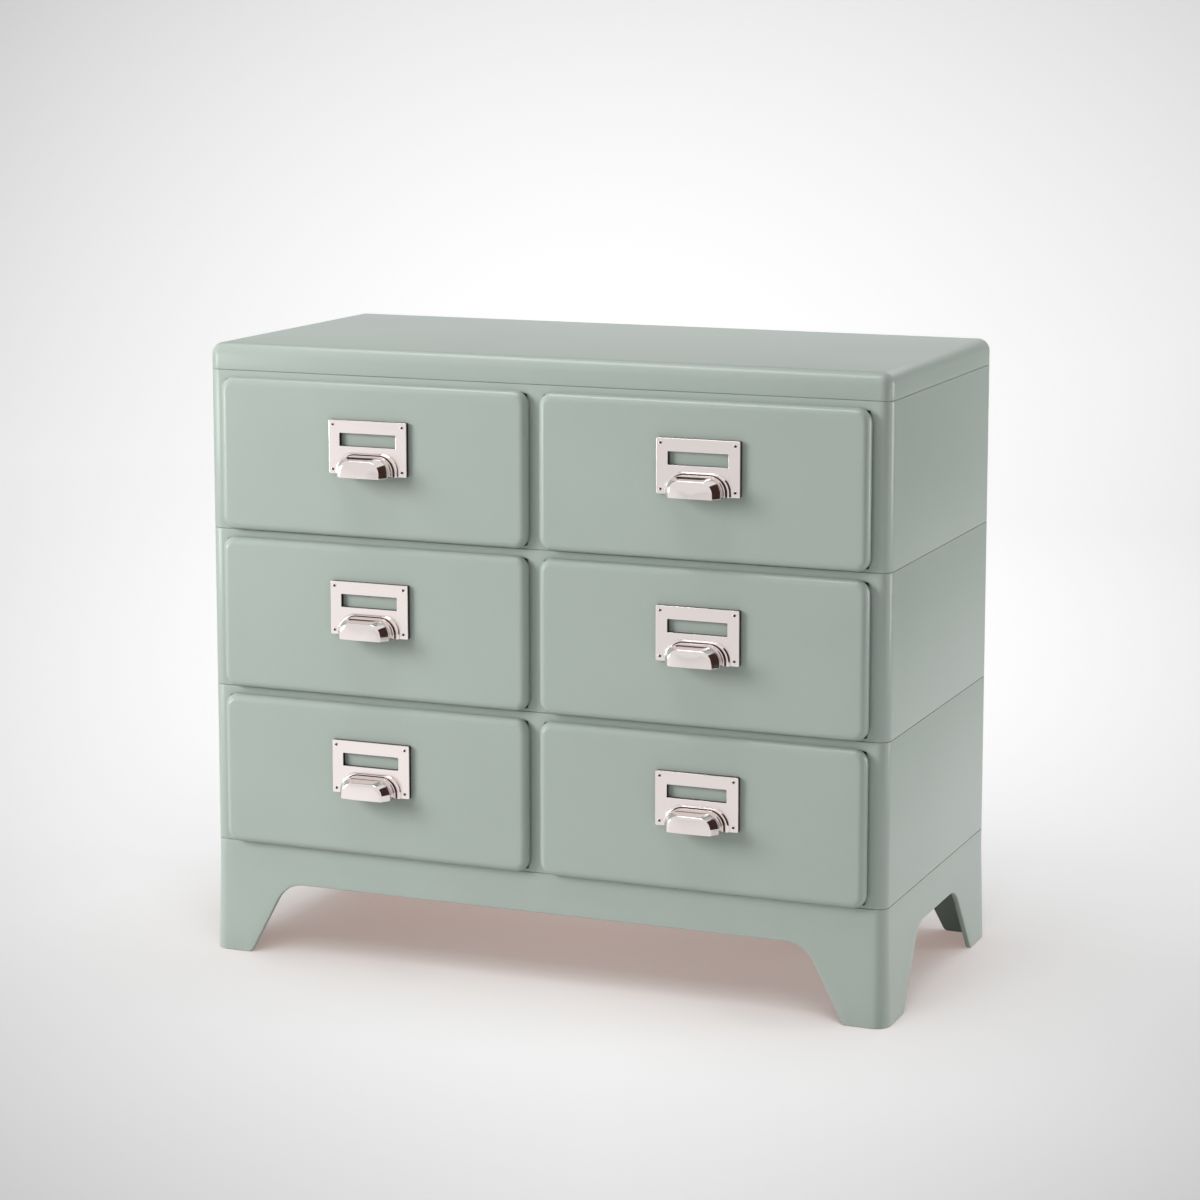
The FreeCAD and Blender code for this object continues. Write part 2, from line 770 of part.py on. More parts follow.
def make_label_plate(label, **place):
    """The label holder: a shallow pan of sheet metal with folded edges and a rimmed window."""
    piece = body(label, **place)
    half = cell("plate_width") / 2
    sheet_metal = cell("sheet_thickness")
    face = sketch(piece, "XZ_Plane", front_face)
    rectangle(face, -half, half, plate_low, cell("plate_top"), cell("plate_corner_radius"))
    solid = extrude(piece, "Pad", face, cell("plate_thickness"))
    round_edges(piece, solid, cell("plate_edge_radius"), level_at("Y", -plate_face))

    window_top = cell("plate_top") - cell("window_drop")
    window_low = window_top - cell("window_height")
    window_half = cell("window_width") / 2
    hollow = sketch(piece, "XZ_Plane", front_face)
    inner = half - sheet_metal
    above = (window_top + sheet_metal, cell("plate_top") - sheet_metal)
    below = (plate_low + sheet_metal, window_low - sheet_metal)
    for low, high in (above, below):
        rectangle(hollow, -inner, inner, low, high)
    extrude(piece, "Pocket", hollow, cell("plate_thickness") - sheet_metal, backwards=True)
    openings = sketch(piece, "XZ_Plane", plate_face)
    rectangle(openings, -window_half, window_half, window_low, window_top, cell("window_radius"))
    circles(openings, plate_pin_places(), hole("plate_pin"))
    circles(openings, pull_screw_places(), hole("pull_screw"))
    extrude(piece, "Pocket", openings, cell("plate_thickness") + 1)


def make_cup_pull(label, **place):
    """The cup pull: a flange on the plate and a hollow bevelled cup, open below for the fingers."""
    piece = body(label, **place)
    reach = cell("pull_reach")
    thin = cell("cup_wall")

    def section(name, outward, shrink=0, drop=0):
        drawing = sketch(piece, "XZ_Plane", plate_face + outward)
        half = cell(f"{name}_width") / 2 - shrink
        low = plate_low - drop
        high = plate_low + cell(f"{name}_height") - shrink
        radius = cell(f"{name}_radius") - shrink
        outline(drawing, [(-half, low, 0), (half, low, 0), (half, high, radius), (-half, high, radius)])
        return drawing

    extrude(piece, "Pad", section("flange", 0), cell("flange_thickness"))
    loft(piece, "AdditiveLoft", [
        section("cup", cell("flange_thickness")),
        section("shoulder", cell("shoulder_reach")),
        section("nose", reach),
    ])
    loft(piece, "SubtractiveLoft", [
        section("cup", 0, shrink=thin, drop=thin),
        section("shoulder", cell("shoulder_reach") - thin / 2, shrink=thin, drop=thin),
        section("nose", reach - thin, shrink=thin, drop=thin),
    ])
    posts = sketch(piece, "XZ_Plane", plate_face)
    circles(posts, pull_screw_places(), cell("post_radius"))
    extrude(piece, "Pad", posts, cell("post_length"))
    holes = sketch(piece, "XZ_Plane", plate_face)
    circles(holes, pull_screw_places(), hole("pull_screw"))
    extrude(piece, "Pocket", holes, cell("screw_bite") + 1, backwards=True)


def make_plate_screws(label, **place):
    """Four small domed pins that hold the label plate."""
    piece = body(label, **place)
    length = cell("plate_thickness") + cell("front_skin")
    heads = screws(piece, "plate_pin", "XZ_Plane", plate_face, plate_pin_places(), length)
    tops = level_at("Y", -plate_face - cell("plate_pin_rise"))
    round_edges(piece, heads, cell("plate_pin_dome"), tops)


def make_pull_screws(label, **place):
    """Two screws from inside the front, through the plate, into the pull's posts."""
    piece = body(label, **place)
    length = cell("front_skin") + cell("plate_thickness") + cell("screw_bite")
    places = pull_screw_places()
    screws(piece, "pull_screw", "XZ_Plane", skin_inner, places, length, backwards=True)


def make_front_screws(label, **place):
    """Four screws from inside the tray into the front's bosses."""
    piece = body(label, **place)
    inner = front_back - cell("box_wall")
    length = cell("box_wall") + cell("screw_bite")
    places = front_screw_places()
    screws(piece, "front_screw", "XZ_Plane", inner, places, length, backwards=True)


make_base_plinth()
make_top_cover()
for tier_name, tier_floor in TIERS.items():
    make_tier_frame(tier_name, tier_floor)
    make_centre_partition(tier_name, tier_floor)
    make_runner_rails(tier_name, tier_floor)
    make_back_panel(tier_name, tier_floor)
make_stacking_pins()
make_back_screws()
make_rail_screws()

DRAWER_PIECES = {
    "drawer_front": make_drawer_front,
    "drawer_box": make_drawer_box,
    "label_plate": make_label_plate,
    "cup_pull": make_cup_pull,
    "plate_screws": make_plate_screws,
    "pull_screws": make_pull_screws,
    "front_screws": make_front_screws,
}
for tier_name, tier_floor in TIERS.items():
    for side_name, centre in SIDES.items():
        for piece_name, make in DRAWER_PIECES.items():
            label = f"{piece_name}_{tier_name}_{side_name}"
            make(label, x=centre, y=front_plane, z=tier_floor)

# Nothing is written unless every feature worked and every cut took material away

doc.recompute()
for item in doc.Objects:
    if "Invalid" in item.State or "Error" in item.State:
        raise RuntimeError(f"{item.Name} failed: {item.State}")
    if item.TypeId in ("PartDesign::Pocket", "PartDesign::SubtractiveLoft"):
        if item.Shape.Volume > item.BaseFeature.Shape.Volume - 0.1:
            raise RuntimeError(f"{item.Name} cuts nothing")
bodies = [item for item in doc.Objects if item.TypeId == "PartDesign::Body"]
for piece in bodies:
    if piece.Shape.isNull() or not piece.Shape.isValid():
        raise RuntimeError(f"{piece.Label} has no valid shape")

os.makedirs("parts", exist_ok=True)
for piece in bodies:
    piece.Shape.exportStep(f"parts/{piece.Label}.step")
print(len(bodies), "pieces")
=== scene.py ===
# %% [markdown]
# # A plastic drawer cabinet
#
# The real cabinet is a stack of injection-moulded modules on a plinth with four splayed legs. Every
# drawer has a thick front with a big soft edge, and on it a nickel label holder and a cup pull. The
# frame that is loaded here holds every piece at its real size and place. This script gives each
# visible piece its finished surface and material, and sets up the studio.

import math

import bmesh
import bpy
import numpy as np
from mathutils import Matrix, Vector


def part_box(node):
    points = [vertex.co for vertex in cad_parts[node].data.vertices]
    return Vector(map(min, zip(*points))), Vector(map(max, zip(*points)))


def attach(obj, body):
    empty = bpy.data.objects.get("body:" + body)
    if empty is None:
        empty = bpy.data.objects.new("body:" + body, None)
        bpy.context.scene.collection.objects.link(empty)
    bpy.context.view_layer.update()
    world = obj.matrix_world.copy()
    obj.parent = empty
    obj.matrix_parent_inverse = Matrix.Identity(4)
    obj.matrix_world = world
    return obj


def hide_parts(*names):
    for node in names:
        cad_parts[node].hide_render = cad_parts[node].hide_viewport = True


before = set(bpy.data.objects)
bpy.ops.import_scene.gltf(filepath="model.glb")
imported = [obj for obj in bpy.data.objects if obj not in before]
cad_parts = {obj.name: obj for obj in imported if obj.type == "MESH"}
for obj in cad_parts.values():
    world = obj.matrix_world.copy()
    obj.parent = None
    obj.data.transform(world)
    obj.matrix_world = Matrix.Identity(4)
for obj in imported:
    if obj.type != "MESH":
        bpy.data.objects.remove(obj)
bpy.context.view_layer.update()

# %% [markdown]
# ## Places and sizes
#
# All lengths are metres in the cabinet's own frame: x to the right, y to the back, z up. Nothing is
# measured by hand where the frame already knows it: a node's box gives the outer size of a module, a
# front, a plate or a pull. What a box can't tell, such as a radius, is written once with its name.

# %% Sizes
MM = 0.001
TIERS = ("bottom", "middle", "top")
SIDES = ("left", "right")
DRAWERS = [f"{tier}_{side}" for tier in TIERS for side in SIDES]

corner_radius = 13 * MM
seam_radius = 0.45 * MM
seam_gap = 0.25 * MM
seam_depth = 1.5 * MM
front_wall = 4 * MM
back_rebate = 12 * MM
panel_clearance = 1 * MM

cover_low, cover_high = np.array(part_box("top_cover"))
half_width = cover_high[0]
front_plane, rear_plane = cover_low[1], cover_high[1]
half_depth = (rear_plane - front_plane) / 2
middle_y = (rear_plane + front_plane) / 2
ridge_half = half_width - half_depth
panel_low, panel_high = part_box("back_panel_top")
wall_inner = panel_high[0] - back_rebate + panel_clearance
print(f"cabinet {2 * half_width:.3f} m wide, {2 * half_depth:.3f} m deep")

# %% [markdown]
# ## Surfaces from arrays
#
# Most pieces are made from closed outlines that change along a path: the outline is a rounded
# rectangle, and each station says how far it is drawn in and where it lies. Stacking the stations
# gives a grid of points, and neighbouring points make quads. Working it out as whole arrays keeps
# every curve a formula, so an edge can be made softer by changing one radius.

# %% Outlines and grids
# Steps in a quarter circle of a usual, a big and a small radius, and steps in a straight side.
ARC = 8
BIG_ARC = 12
SMALL_ARC = 4
SIDE = 6

# How near two points are merged, the least face that is kept, and from what angle an edge is sharp.
WELD_DISTANCE = 0.002 * MM
LEAST_AREA = 1e-14
SHARP_ANGLE = math.radians(40)


def rounded_loop(x0, x1, z0, z1, radius, arc=ARC, side=SIDE):
    """A closed outline of shape (points, 2), anticlockwise from the lower right corner.

    Each corner is centre + radius * (cos a, sin a) with a running over a quarter turn. The straight
    stretches between the corners are divided evenly, so outlines of any size match point by point.
    """
    quarter = np.linspace(0, np.pi / 2, arc + 1)
    centres = ((x1 - radius, z0 + radius), (x1 - radius, z1 - radius),
               (x0 + radius, z1 - radius), (x0 + radius, z0 + radius))
    pieces = []
    for number, centre in enumerate(centres):
        angle = quarter + (number - 1) * np.pi / 2
        pieces.append(np.array(centre) + radius * np.stack([np.cos(angle), np.sin(angle)], axis=1))
    share = np.linspace(0, 1, side + 1)[1:-1, None]
    loop = []
    for number, piece in enumerate(pieces):
        following = pieces[(number + 1) % len(pieces)]
        loop += [piece, piece[-1] + (following[0] - piece[-1]) * share]
    return np.concatenate(loop + [pieces[0][:1]])


def level_grid(loops, heights):
    """Outlines in the x-y plane, each at its own z: shape (stations, points, 3)."""
    loops = np.array(loops)
    z = np.broadcast_to(np.array(heights)[:, None], loops.shape[:2])
    return np.stack([loops[..., 0], loops[..., 1], z], axis=2)


def upright_grid(loops, depths):
    """Outlines in the x-z plane, each at its own y: a level grid with y and z exchanged."""
    return level_grid(loops, depths)[..., [0, 2, 1]]


def quarter_round(radius, steps=ARC):
    """Inset and rise of an edge rounded by a quarter circle, from the side to the face.

    inset = r (1 - cos a) and rise = r sin a, with a from 0 to a right angle.
    """
    angle = np.linspace(0, np.pi / 2, steps + 1)
    return radius * (1 - np.cos(angle)), radius * np.sin(angle)


def grid_quads(rows, columns):
    """The quads between neighbouring points of a grid, as point numbers of shape (quads, 4)."""
    number = np.arange(rows * columns).reshape(rows, columns)
    corners = (number[:-1, :-1], number[:-1, 1:], number[1:, 1:], number[1:, :-1])
    return np.stack(corners, axis=2).reshape(-1, 4)


def new_object(name, data):
    """An object with this data, put in the scene."""
    thing = bpy.data.objects.new(name, data)
    bpy.context.scene.collection.objects.link(thing)
    return thing


def add_piece(name, grids, body, replaced, materials):
    """One object from grids of points: quads between neighbours, doubles merged, faces outwards."""
    points, faces, start = [], [], 0
    for grid in grids:
        faces.append(start + grid_quads(*grid.shape[:2]))
        points.append(grid.reshape(-1, 3))
        start += len(points[-1])
    mesh = bpy.data.meshes.new(name)
    mesh.from_pydata(np.concatenate(points), [], np.concatenate(faces))
    work = bmesh.new()
    work.from_mesh(mesh)
    bmesh.ops.remove_doubles(work, verts=work.verts, dist=WELD_DISTANCE)
    flat = [face for face in work.faces if face.calc_area() < LEAST_AREA]
    bmesh.ops.delete(work, geom=flat, context="FACES_ONLY")
    bmesh.ops.recalc_face_normals(work, faces=work.faces)
    work.to_mesh(mesh)
    work.free()
    mesh.shade_smooth()
    mesh.set_sharp_from_angle(angle=SHARP_ANGLE)
    for material in materials:
        mesh.materials.append(material)
    piece = new_object(name, mesh)
    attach(piece, body)
    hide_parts(*replaced)
    return piece


# %% [markdown]
# ## Moulded plastic
#
# The cabinet is moulded in one sage green all through. The skin is satin: it takes a broad soft
# highlight on every rounded edge, and close up it has the faint grain of an etched mould. The colour
# is nearly even, so only a very weak, large noise moves it, and a fine noise makes the grain as bump.

# %% Materials for the plastic
SAGE = (0.417, 0.483, 0.437)
COLOUR_DRIFT = 0.02
DRIFT_SCALE = 6
DRIFT_ENDS = (0.3, 0.7)
GRAIN_SCALE = 1400
GRAIN_DEPTH = 0.1 * MM
PLASTIC_IOR = 1.5


def node_material(name):
    """A new material with nothing but a Principled shader: the material, its tree and the shader."""
    material = bpy.data.materials.new(name)
    material.use_nodes = True
    tree = material.node_tree
    return material, tree, tree.nodes["Principled BSDF"]


def noise_node(tree, scale, detail, stretch=None):
    """The value of a noise in object coordinates, with its scale in cells per metre.

    A stretch is a further factor on the scale for each axis.
    """
    vector = tree.nodes.new("ShaderNodeTexCoord").outputs["Object"]
    if stretch:
        mapping = tree.nodes.new("ShaderNodeMapping")
        mapping.inputs["Scale"].default_value = stretch
        tree.links.new(vector, mapping.inputs["Vector"])
        vector = mapping.outputs["Vector"]
    noise = tree.nodes.new("ShaderNodeTexNoise")
    noise.inputs["Scale"].default_value = scale
    noise.inputs["Detail"].default_value = detail
    tree.links.new(vector, noise.inputs["Vector"])
    return noise.outputs["Fac"]


def ramp_node(tree, value, stops, target):
    """A colour ramp from (position, colour) stops, that carries a value to the target's colour."""
    ramp = tree.nodes.new("ShaderNodeValToRGB")
    for element, (position, colour) in zip(ramp.color_ramp.elements, stops):
        element.position = position
        element.color = (*colour, 1)
    tree.links.new(value, ramp.inputs["Fac"])
    tree.links.new(ramp.outputs["Color"], target)


def range_node(tree, value, low, high, start=0, end=1):
    """A value that goes from low to high while the given one goes from start to end."""
    node = tree.nodes.new("ShaderNodeMapRange")
    node.inputs["From Min"].default_value = start
    node.inputs["From Max"].default_value = end
    node.inputs["To Min"].default_value = low
    node.inputs["To Max"].default_value = high
    tree.links.new(value, node.inputs["Value"])
    return node.outputs["Result"]


def bump_node(tree, shader, height, strength, distance):
    """Bump on the shader, from a height between 0 and 1 that stands for a real distance."""
    bump = tree.nodes.new("ShaderNodeBump")
    bump.inputs["Strength"].default_value = strength
    bump.inputs["Distance"].default_value = distance
    tree.links.new(height, bump.inputs["Height"])
    tree.links.new(bump.outputs["Normal"], shader.inputs["Normal"])


def shaded(colour, factor):
    """A colour made lighter or darker by a factor."""
    return tuple(channel * factor for channel in colour)


def moulded_plastic(name, colour, roughness, grain=0.05):
    """Satin moulded plastic: a slow drift of the colour and a fine grain in the bump."""
    material, tree, shader = node_material(name)
    tints = (shaded(colour, 1 - COLOUR_DRIFT), shaded(colour, 1 + COLOUR_DRIFT))
    drift = noise_node(tree, DRIFT_SCALE, 3)
    ramp_node(tree, drift, zip(DRIFT_ENDS, tints), shader.inputs["Base Color"])
    bump_node(tree, shader, noise_node(tree, GRAIN_SCALE, 2), grain, GRAIN_DEPTH)
    shader.inputs["Roughness"].default_value = roughness
    shader.inputs["IOR"].default_value = PLASTIC_IOR
    return material


carcass_plastic = moulded_plastic("carcass_plastic", SAGE, 0.3)
front_plastic = moulded_plastic("front_plastic", SAGE, 0.26)
tray_plastic = moulded_plastic("tray_plastic", shaded(SAGE, 1.06), 0.5)
inner_plastic = moulded_plastic("inner_plastic", shaded(SAGE, 0.95), 0.5)
back_plastic = moulded_plastic("back_plastic", shaded(SAGE, 0.9), 0.55, grain=0.12)
rail_plastic = moulded_plastic("rail_plastic", (0.60, 0.62, 0.60), 0.35)

# %% [markdown]
# ## Metal fittings
#
# The pull is polished nickel and the plate behind it is a satin nickel with the faint upright lines
# of a brushing wheel. Nickel is warmer than chrome, with a touch of pink in this light. The brushed
# lines are a noise that is stretched along z. They move the roughness and, very weakly, the bump.

# %% Materials for the metal
NICKEL = (0.86, 0.785, 0.765)
# Dark nickel for painted shade: on the holders' sides, in the rivets' hollows and in the pull's crease.
PAINTED_SHADE_NICKEL = (0.22, 0.17, 0.16)
POLISH_SCALE = 60
POLISH_SPREAD = (0.8, 1.3)
BRUSH_STRETCH = (2600, 2600, 60)
BRUSH_SPREAD = (0.75, 1.25)
BRUSH_BUMP = 0.06
BRUSH_DEPTH = 0.05 * MM


def metal(name, colour):
    """A new metal: the material, its tree and its shader."""
    material, tree, shader = node_material(name)
    shader.inputs["Base Color"].default_value = (*colour, 1)
    shader.inputs["Metallic"].default_value = 1
    return material, tree, shader


def vary_roughness(tree, shader, noise, roughness, spread):
    """Lets a noise move the roughness between two factors of its value."""
    low, high = spread
    uneven = range_node(tree, noise, roughness * low, roughness * high)
    tree.links.new(uneven, shader.inputs["Roughness"])


def polished_metal(name, colour, roughness):
    """Polished metal with a barely uneven polish."""
    material, tree, shader = metal(name, colour)
    vary_roughness(tree, shader, noise_node(tree, POLISH_SCALE, 2), roughness, POLISH_SPREAD)
    return material


def brushed_metal(name, colour, roughness):
    """Satin metal with upright brush lines in its roughness and bump."""
    material, tree, shader = metal(name, colour)
    lines = noise_node(tree, 1, 3, BRUSH_STRETCH)
    vary_roughness(tree, shader, lines, roughness, BRUSH_SPREAD)
    bump_node(tree, shader, lines, BRUSH_BUMP, BRUSH_DEPTH)
    return material


plate_nickel = brushed_metal("plate_nickel", NICKEL, 0.2)
pull_nickel = polished_metal("pull_nickel", NICKEL, 0.09)
pin_nickel = polished_metal("pin_nickel", NICKEL, 0.15)
# Painted shade and dark reflection for the sides of the label holders and their windows.
painted_side_shade = polished_metal("painted_side_shade", shaded(PAINTED_SHADE_NICKEL, 0.35), 0.3)
zinc = polished_metal("zinc_screw", (0.62, 0.62, 0.63), 0.32)

# %% [markdown]
# ## The joints between modules
#
# Where two modules meet, a real moulding has an eased edge and a hair of space, because no two
# mouldings are perfectly flat. The edge turns in with a small radius and then runs back into the
# joint, so that the stack shows a fine dark line all round.

# %% The section of a module's edge
def joint_edge():
    """Inset and rise of a module's edge, from the wall to the bottom of the joint.

    The edge turns in by a quarter circle, inset = r (1 - cos a) and rise = r sin a, seam_gap short of
    the module's full height. Then it runs seam_depth inwards, and closes the gap there.
    """
    inset, rise = quarter_round(seam_radius, SMALL_ARC)
    inset = np.concatenate([inset, [seam_depth, seam_depth]])
    rise = np.concatenate([rise, [seam_radius, seam_radius + seam_gap]])
    return inset, seam_radius + seam_gap - rise


# %% [markdown]
# ## The cover
#
# The real lid is one moulding whose upright corners and top edges have the same generous radius. The
# outline is drawn in as it rises over the top edge, until it closes on a line along the middle. Its
# lower edge is eased a little, and so is the edge of the tier below it, which makes the fine joint.

# %% Make the cover
def plan_loop(inset):
    """The cabinet's plan, drawn in by inset."""
    return rounded_loop(inset - half_width, half_width - inset, front_plane + inset,
                        rear_plane - inset, max(corner_radius - inset, 0))


def make_cover():
    """Stations from the middle of the underside, out, up the wall and over to the middle of the top."""
    low, high = cover_low[2], cover_high[2]
    joint_inset, joint_space = joint_edge()
    top_inset, top_rise = quarter_round(corner_radius, BIG_ARC)
    insets = np.concatenate([joint_inset[::-1], top_inset])
    heights = np.concatenate([low + joint_space[::-1], high - corner_radius + top_rise])
    ridge = rounded_loop(-ridge_half, ridge_half, middle_y, middle_y, 0)
    loops = [ridge, *[plan_loop(inset) for inset in insets], ridge]
    grid = level_grid(loops, [low, *heights, high])
    return add_piece("cover", [grid], "cabinet", ["top_cover"], [carcass_plastic])


cover = make_cover()
print("cover:", len(cover.data.polygons), "faces")

# %% [markdown]
# ## The tiers
#
# A tier is an open box: a front wall with a mouth for each drawer, and a side wall at each end that
# carries the round upright corners. Every mouth is a ring of stations that run from the wall's edge
# to the mouth, through it and back along the inside. The side walls are a plan outline carried up.
# The outer edges at top and bottom are eased, so that two stacked modules show a thin joint.

# %% Make the tiers
mouth_radius = 6 * MM
mouth_half = 169 * MM
mouth_low = 12 * MM
mouth_high = 152 * MM
lip_radius = 1.2 * MM
deck = 4 * MM


def make_tier(name):
    """The whole tier: two half front walls, two side walls and the deck."""
    low, high = (corner[2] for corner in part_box(f"tier_frame_{name}"))
    grids = []
    for side, word in zip((-1, 1), SIDES):
        box_low, box_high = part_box(f"drawer_front_{name}_{word}")
        centre = (box_low[0] + box_high[0]) / 2
        grids.append(front_wall_grid(side, low, high, centre))
        grids.append(side_wall_grid(side, low, high))
    grids.append(deck_grid(low))
    return add_piece(f"tier_{name}", grids, "cabinet", [f"tier_frame_{name}"],
                     [carcass_plastic])


def front_wall_grid(side, low, high, centre):
    """Half of a front wall round one mouth, as one ring of stations.

    It starts on the inner face at the wall's edge, comes round the eased top and bottom edges to the
    outer face, runs to the mouth, through it with a rounded lip at each end, and back.
    """
    x0, x1 = sorted((0, side * (half_width - corner_radius)))
    loops = [rounded_loop(x0, x1, low, high, 0)]
    depths = [front_wall]
    for inset, space in zip(*(part[::-1] for part in joint_edge())):
        loops.append(rounded_loop(x0, x1, low + space, high - space, 0))
        depths.append(inset)

    def mouth(growth):
        return rounded_loop(centre - mouth_half - growth, centre + mouth_half + growth,
                            low + mouth_low - growth, low + mouth_high + growth, mouth_radius + growth)

    insets, rises = quarter_round(lip_radius, SMALL_ARC)
    growths = lip_radius - rises
    loops += [mouth(growth) for growth in (*growths, *growths[::-1])]
    depths += [*insets, *(front_wall - insets[::-1])]
    loops.append(loops[0])
    depths.append(front_wall)
    return upright_grid(loops, front_plane + np.array(depths))


def side_wall_outline(side, inset):
    """The plan of one side wall: outer face with its two round corners, rebate, inner face.

    Only the outer face moves in with inset, so the wall stays flush with the front wall inside.
    """
    quarter = np.linspace(0, np.pi / 2, BIG_ARC + 1)
    radius = corner_radius - inset
    start = half_width - corner_radius
    edge = wall_inner + back_rebate
    front = np.stack([start + radius * np.sin(quarter),
                      front_plane + corner_radius - radius * np.cos(quarter)], axis=1)
    turn = np.linspace(np.pi / 2, math.asin((edge - start) / radius), BIG_ARC + 1)
    rear = np.stack([start + radius * np.sin(turn),
                     rear_plane - corner_radius + radius * np.cos(turn)], axis=1)
    rebate_y = panel_low[1]
    inner = np.array([(edge, rebate_y), (wall_inner, rebate_y), (wall_inner, front_plane + front_wall),
                      (start, front_plane + front_wall), (start, front_plane + inset)])
    outline = np.concatenate([front, rear, inner])
    outline[:, 0] *= side
    return outline


def side_wall_grid(side, low, high):
    """One side wall carried up, with eased outer edges and flat ends."""
    joint_inset, joint_space = joint_edge()
    insets = np.concatenate([joint_inset[::-1], joint_inset])
    heights = np.concatenate([low + joint_space[::-1], high - joint_space])
    loops = [side_wall_outline(side, inset) for inset in insets]
    middle = np.broadcast_to(loops[0].mean(axis=0), loops[0].shape)
    return level_grid([middle, *loops, middle], [low, *heights, high])


def deck_grid(low):
    """The deck as a closed slab between the walls."""
    y0, y1 = front_plane + front_wall, panel_low[1]
    middle = (y0 + y1) / 2
    reach = wall_inner - (y1 - y0) / 2
    ridge = rounded_loop(-reach, reach, middle, middle, 0, arc=1)
    edge = rounded_loop(-wall_inner, wall_inner, y0, y1, 0, arc=1)
    return level_grid([ridge, edge, edge, ridge], [low, low, low + deck, low + deck])


moulded = [cover]
for tier in TIERS:
    shell = make_tier(tier)
    moulded.append(shell)
    print(shell.name, len(shell.data.polygons), "faces")

# %% [markdown]
# ## The plinth
#
# One moulding with four legs: its wall flares out a little towards the floor, and an arch is cut
# through each side. The surface goes round the plan once. At every place it has the same section:
# down the outer skin to the lower edge, round the edge, and up the inner skin. Only the height of the
# lower edge changes, and it follows the arch: foot, round toe, leaning leg, round crown and flat top.

# %% Make the plinth
flare = 3 * MM
flare_height = 103 * MM
plinth_wall = 5.5 * MM
plinth_edge = 1.2 * MM
arch_height = 80 * MM
crown_radius = 35 * MM
toe_radius = 7 * MM
front_foot = 46 * MM
side_foot = 61 * MM
front_lean = 42 * MM
side_lean = 56 * MM


def leg_curve(lean):
    """The lower edge from the foot to the crown, as (along, up, normal along, normal up).

    The leg's straight stretch leans by the angle t = atan2(height, lean). The toe is an arc that is
    tangent to the floor and the leg, and the crown an arc tangent to the leg and the top: each turns
    by t, so its tangent points lie radius * tan(t / 2) from the corner. The normal points down and
    away from the material.
    """
    slope = math.atan2(arch_height, lean)
    reach = toe_radius * math.tan(slope / 2)
    angle = np.linspace(0, slope, BIG_ARC)
    toe = np.stack([-reach + toe_radius * np.sin(angle), toe_radius * (1 - np.cos(angle))], axis=1)
    reach = crown_radius * math.tan(slope / 2)
    back = np.linspace(slope, 0, 2 * BIG_ARC)
    crown = np.stack([lean + reach - crown_radius * np.sin(back),
                      arch_height - crown_radius * (1 - np.cos(back))], axis=1)
    places = np.concatenate([toe, crown])
    turns = np.concatenate([angle, back])
    normals = np.stack([np.sin(turns), -np.cos(turns)], axis=1)
    return np.concatenate([places, normals], axis=1)


def side_run(half_length, foot, lean):
    """One side of the plinth from corner to corner: rows of (along, up, normal along, normal up)."""
    leg = leg_curve(lean)
    leg[:, 0] += foot - half_length
    other = leg[::-1] * np.array([-1, 1, -1, 1])
    sideways = np.array([1, 0, 0, 0])
    flat = np.linspace(leg[-1, 0], other[0, 0], BIG_ARC)[1:-1, None]
    top = flat * sideways + np.array([0, arch_height, 0, -1])
    foot_line = np.linspace(corner_radius - half_length, leg[0, 0], 4)[:-1, None]
    start = foot_line * sideways + np.array([0, 0, 0, -1])
    end = start[::-1] * np.array([-1, 1, 1, 1])
    return np.concatenate([start, leg, top, other, end])


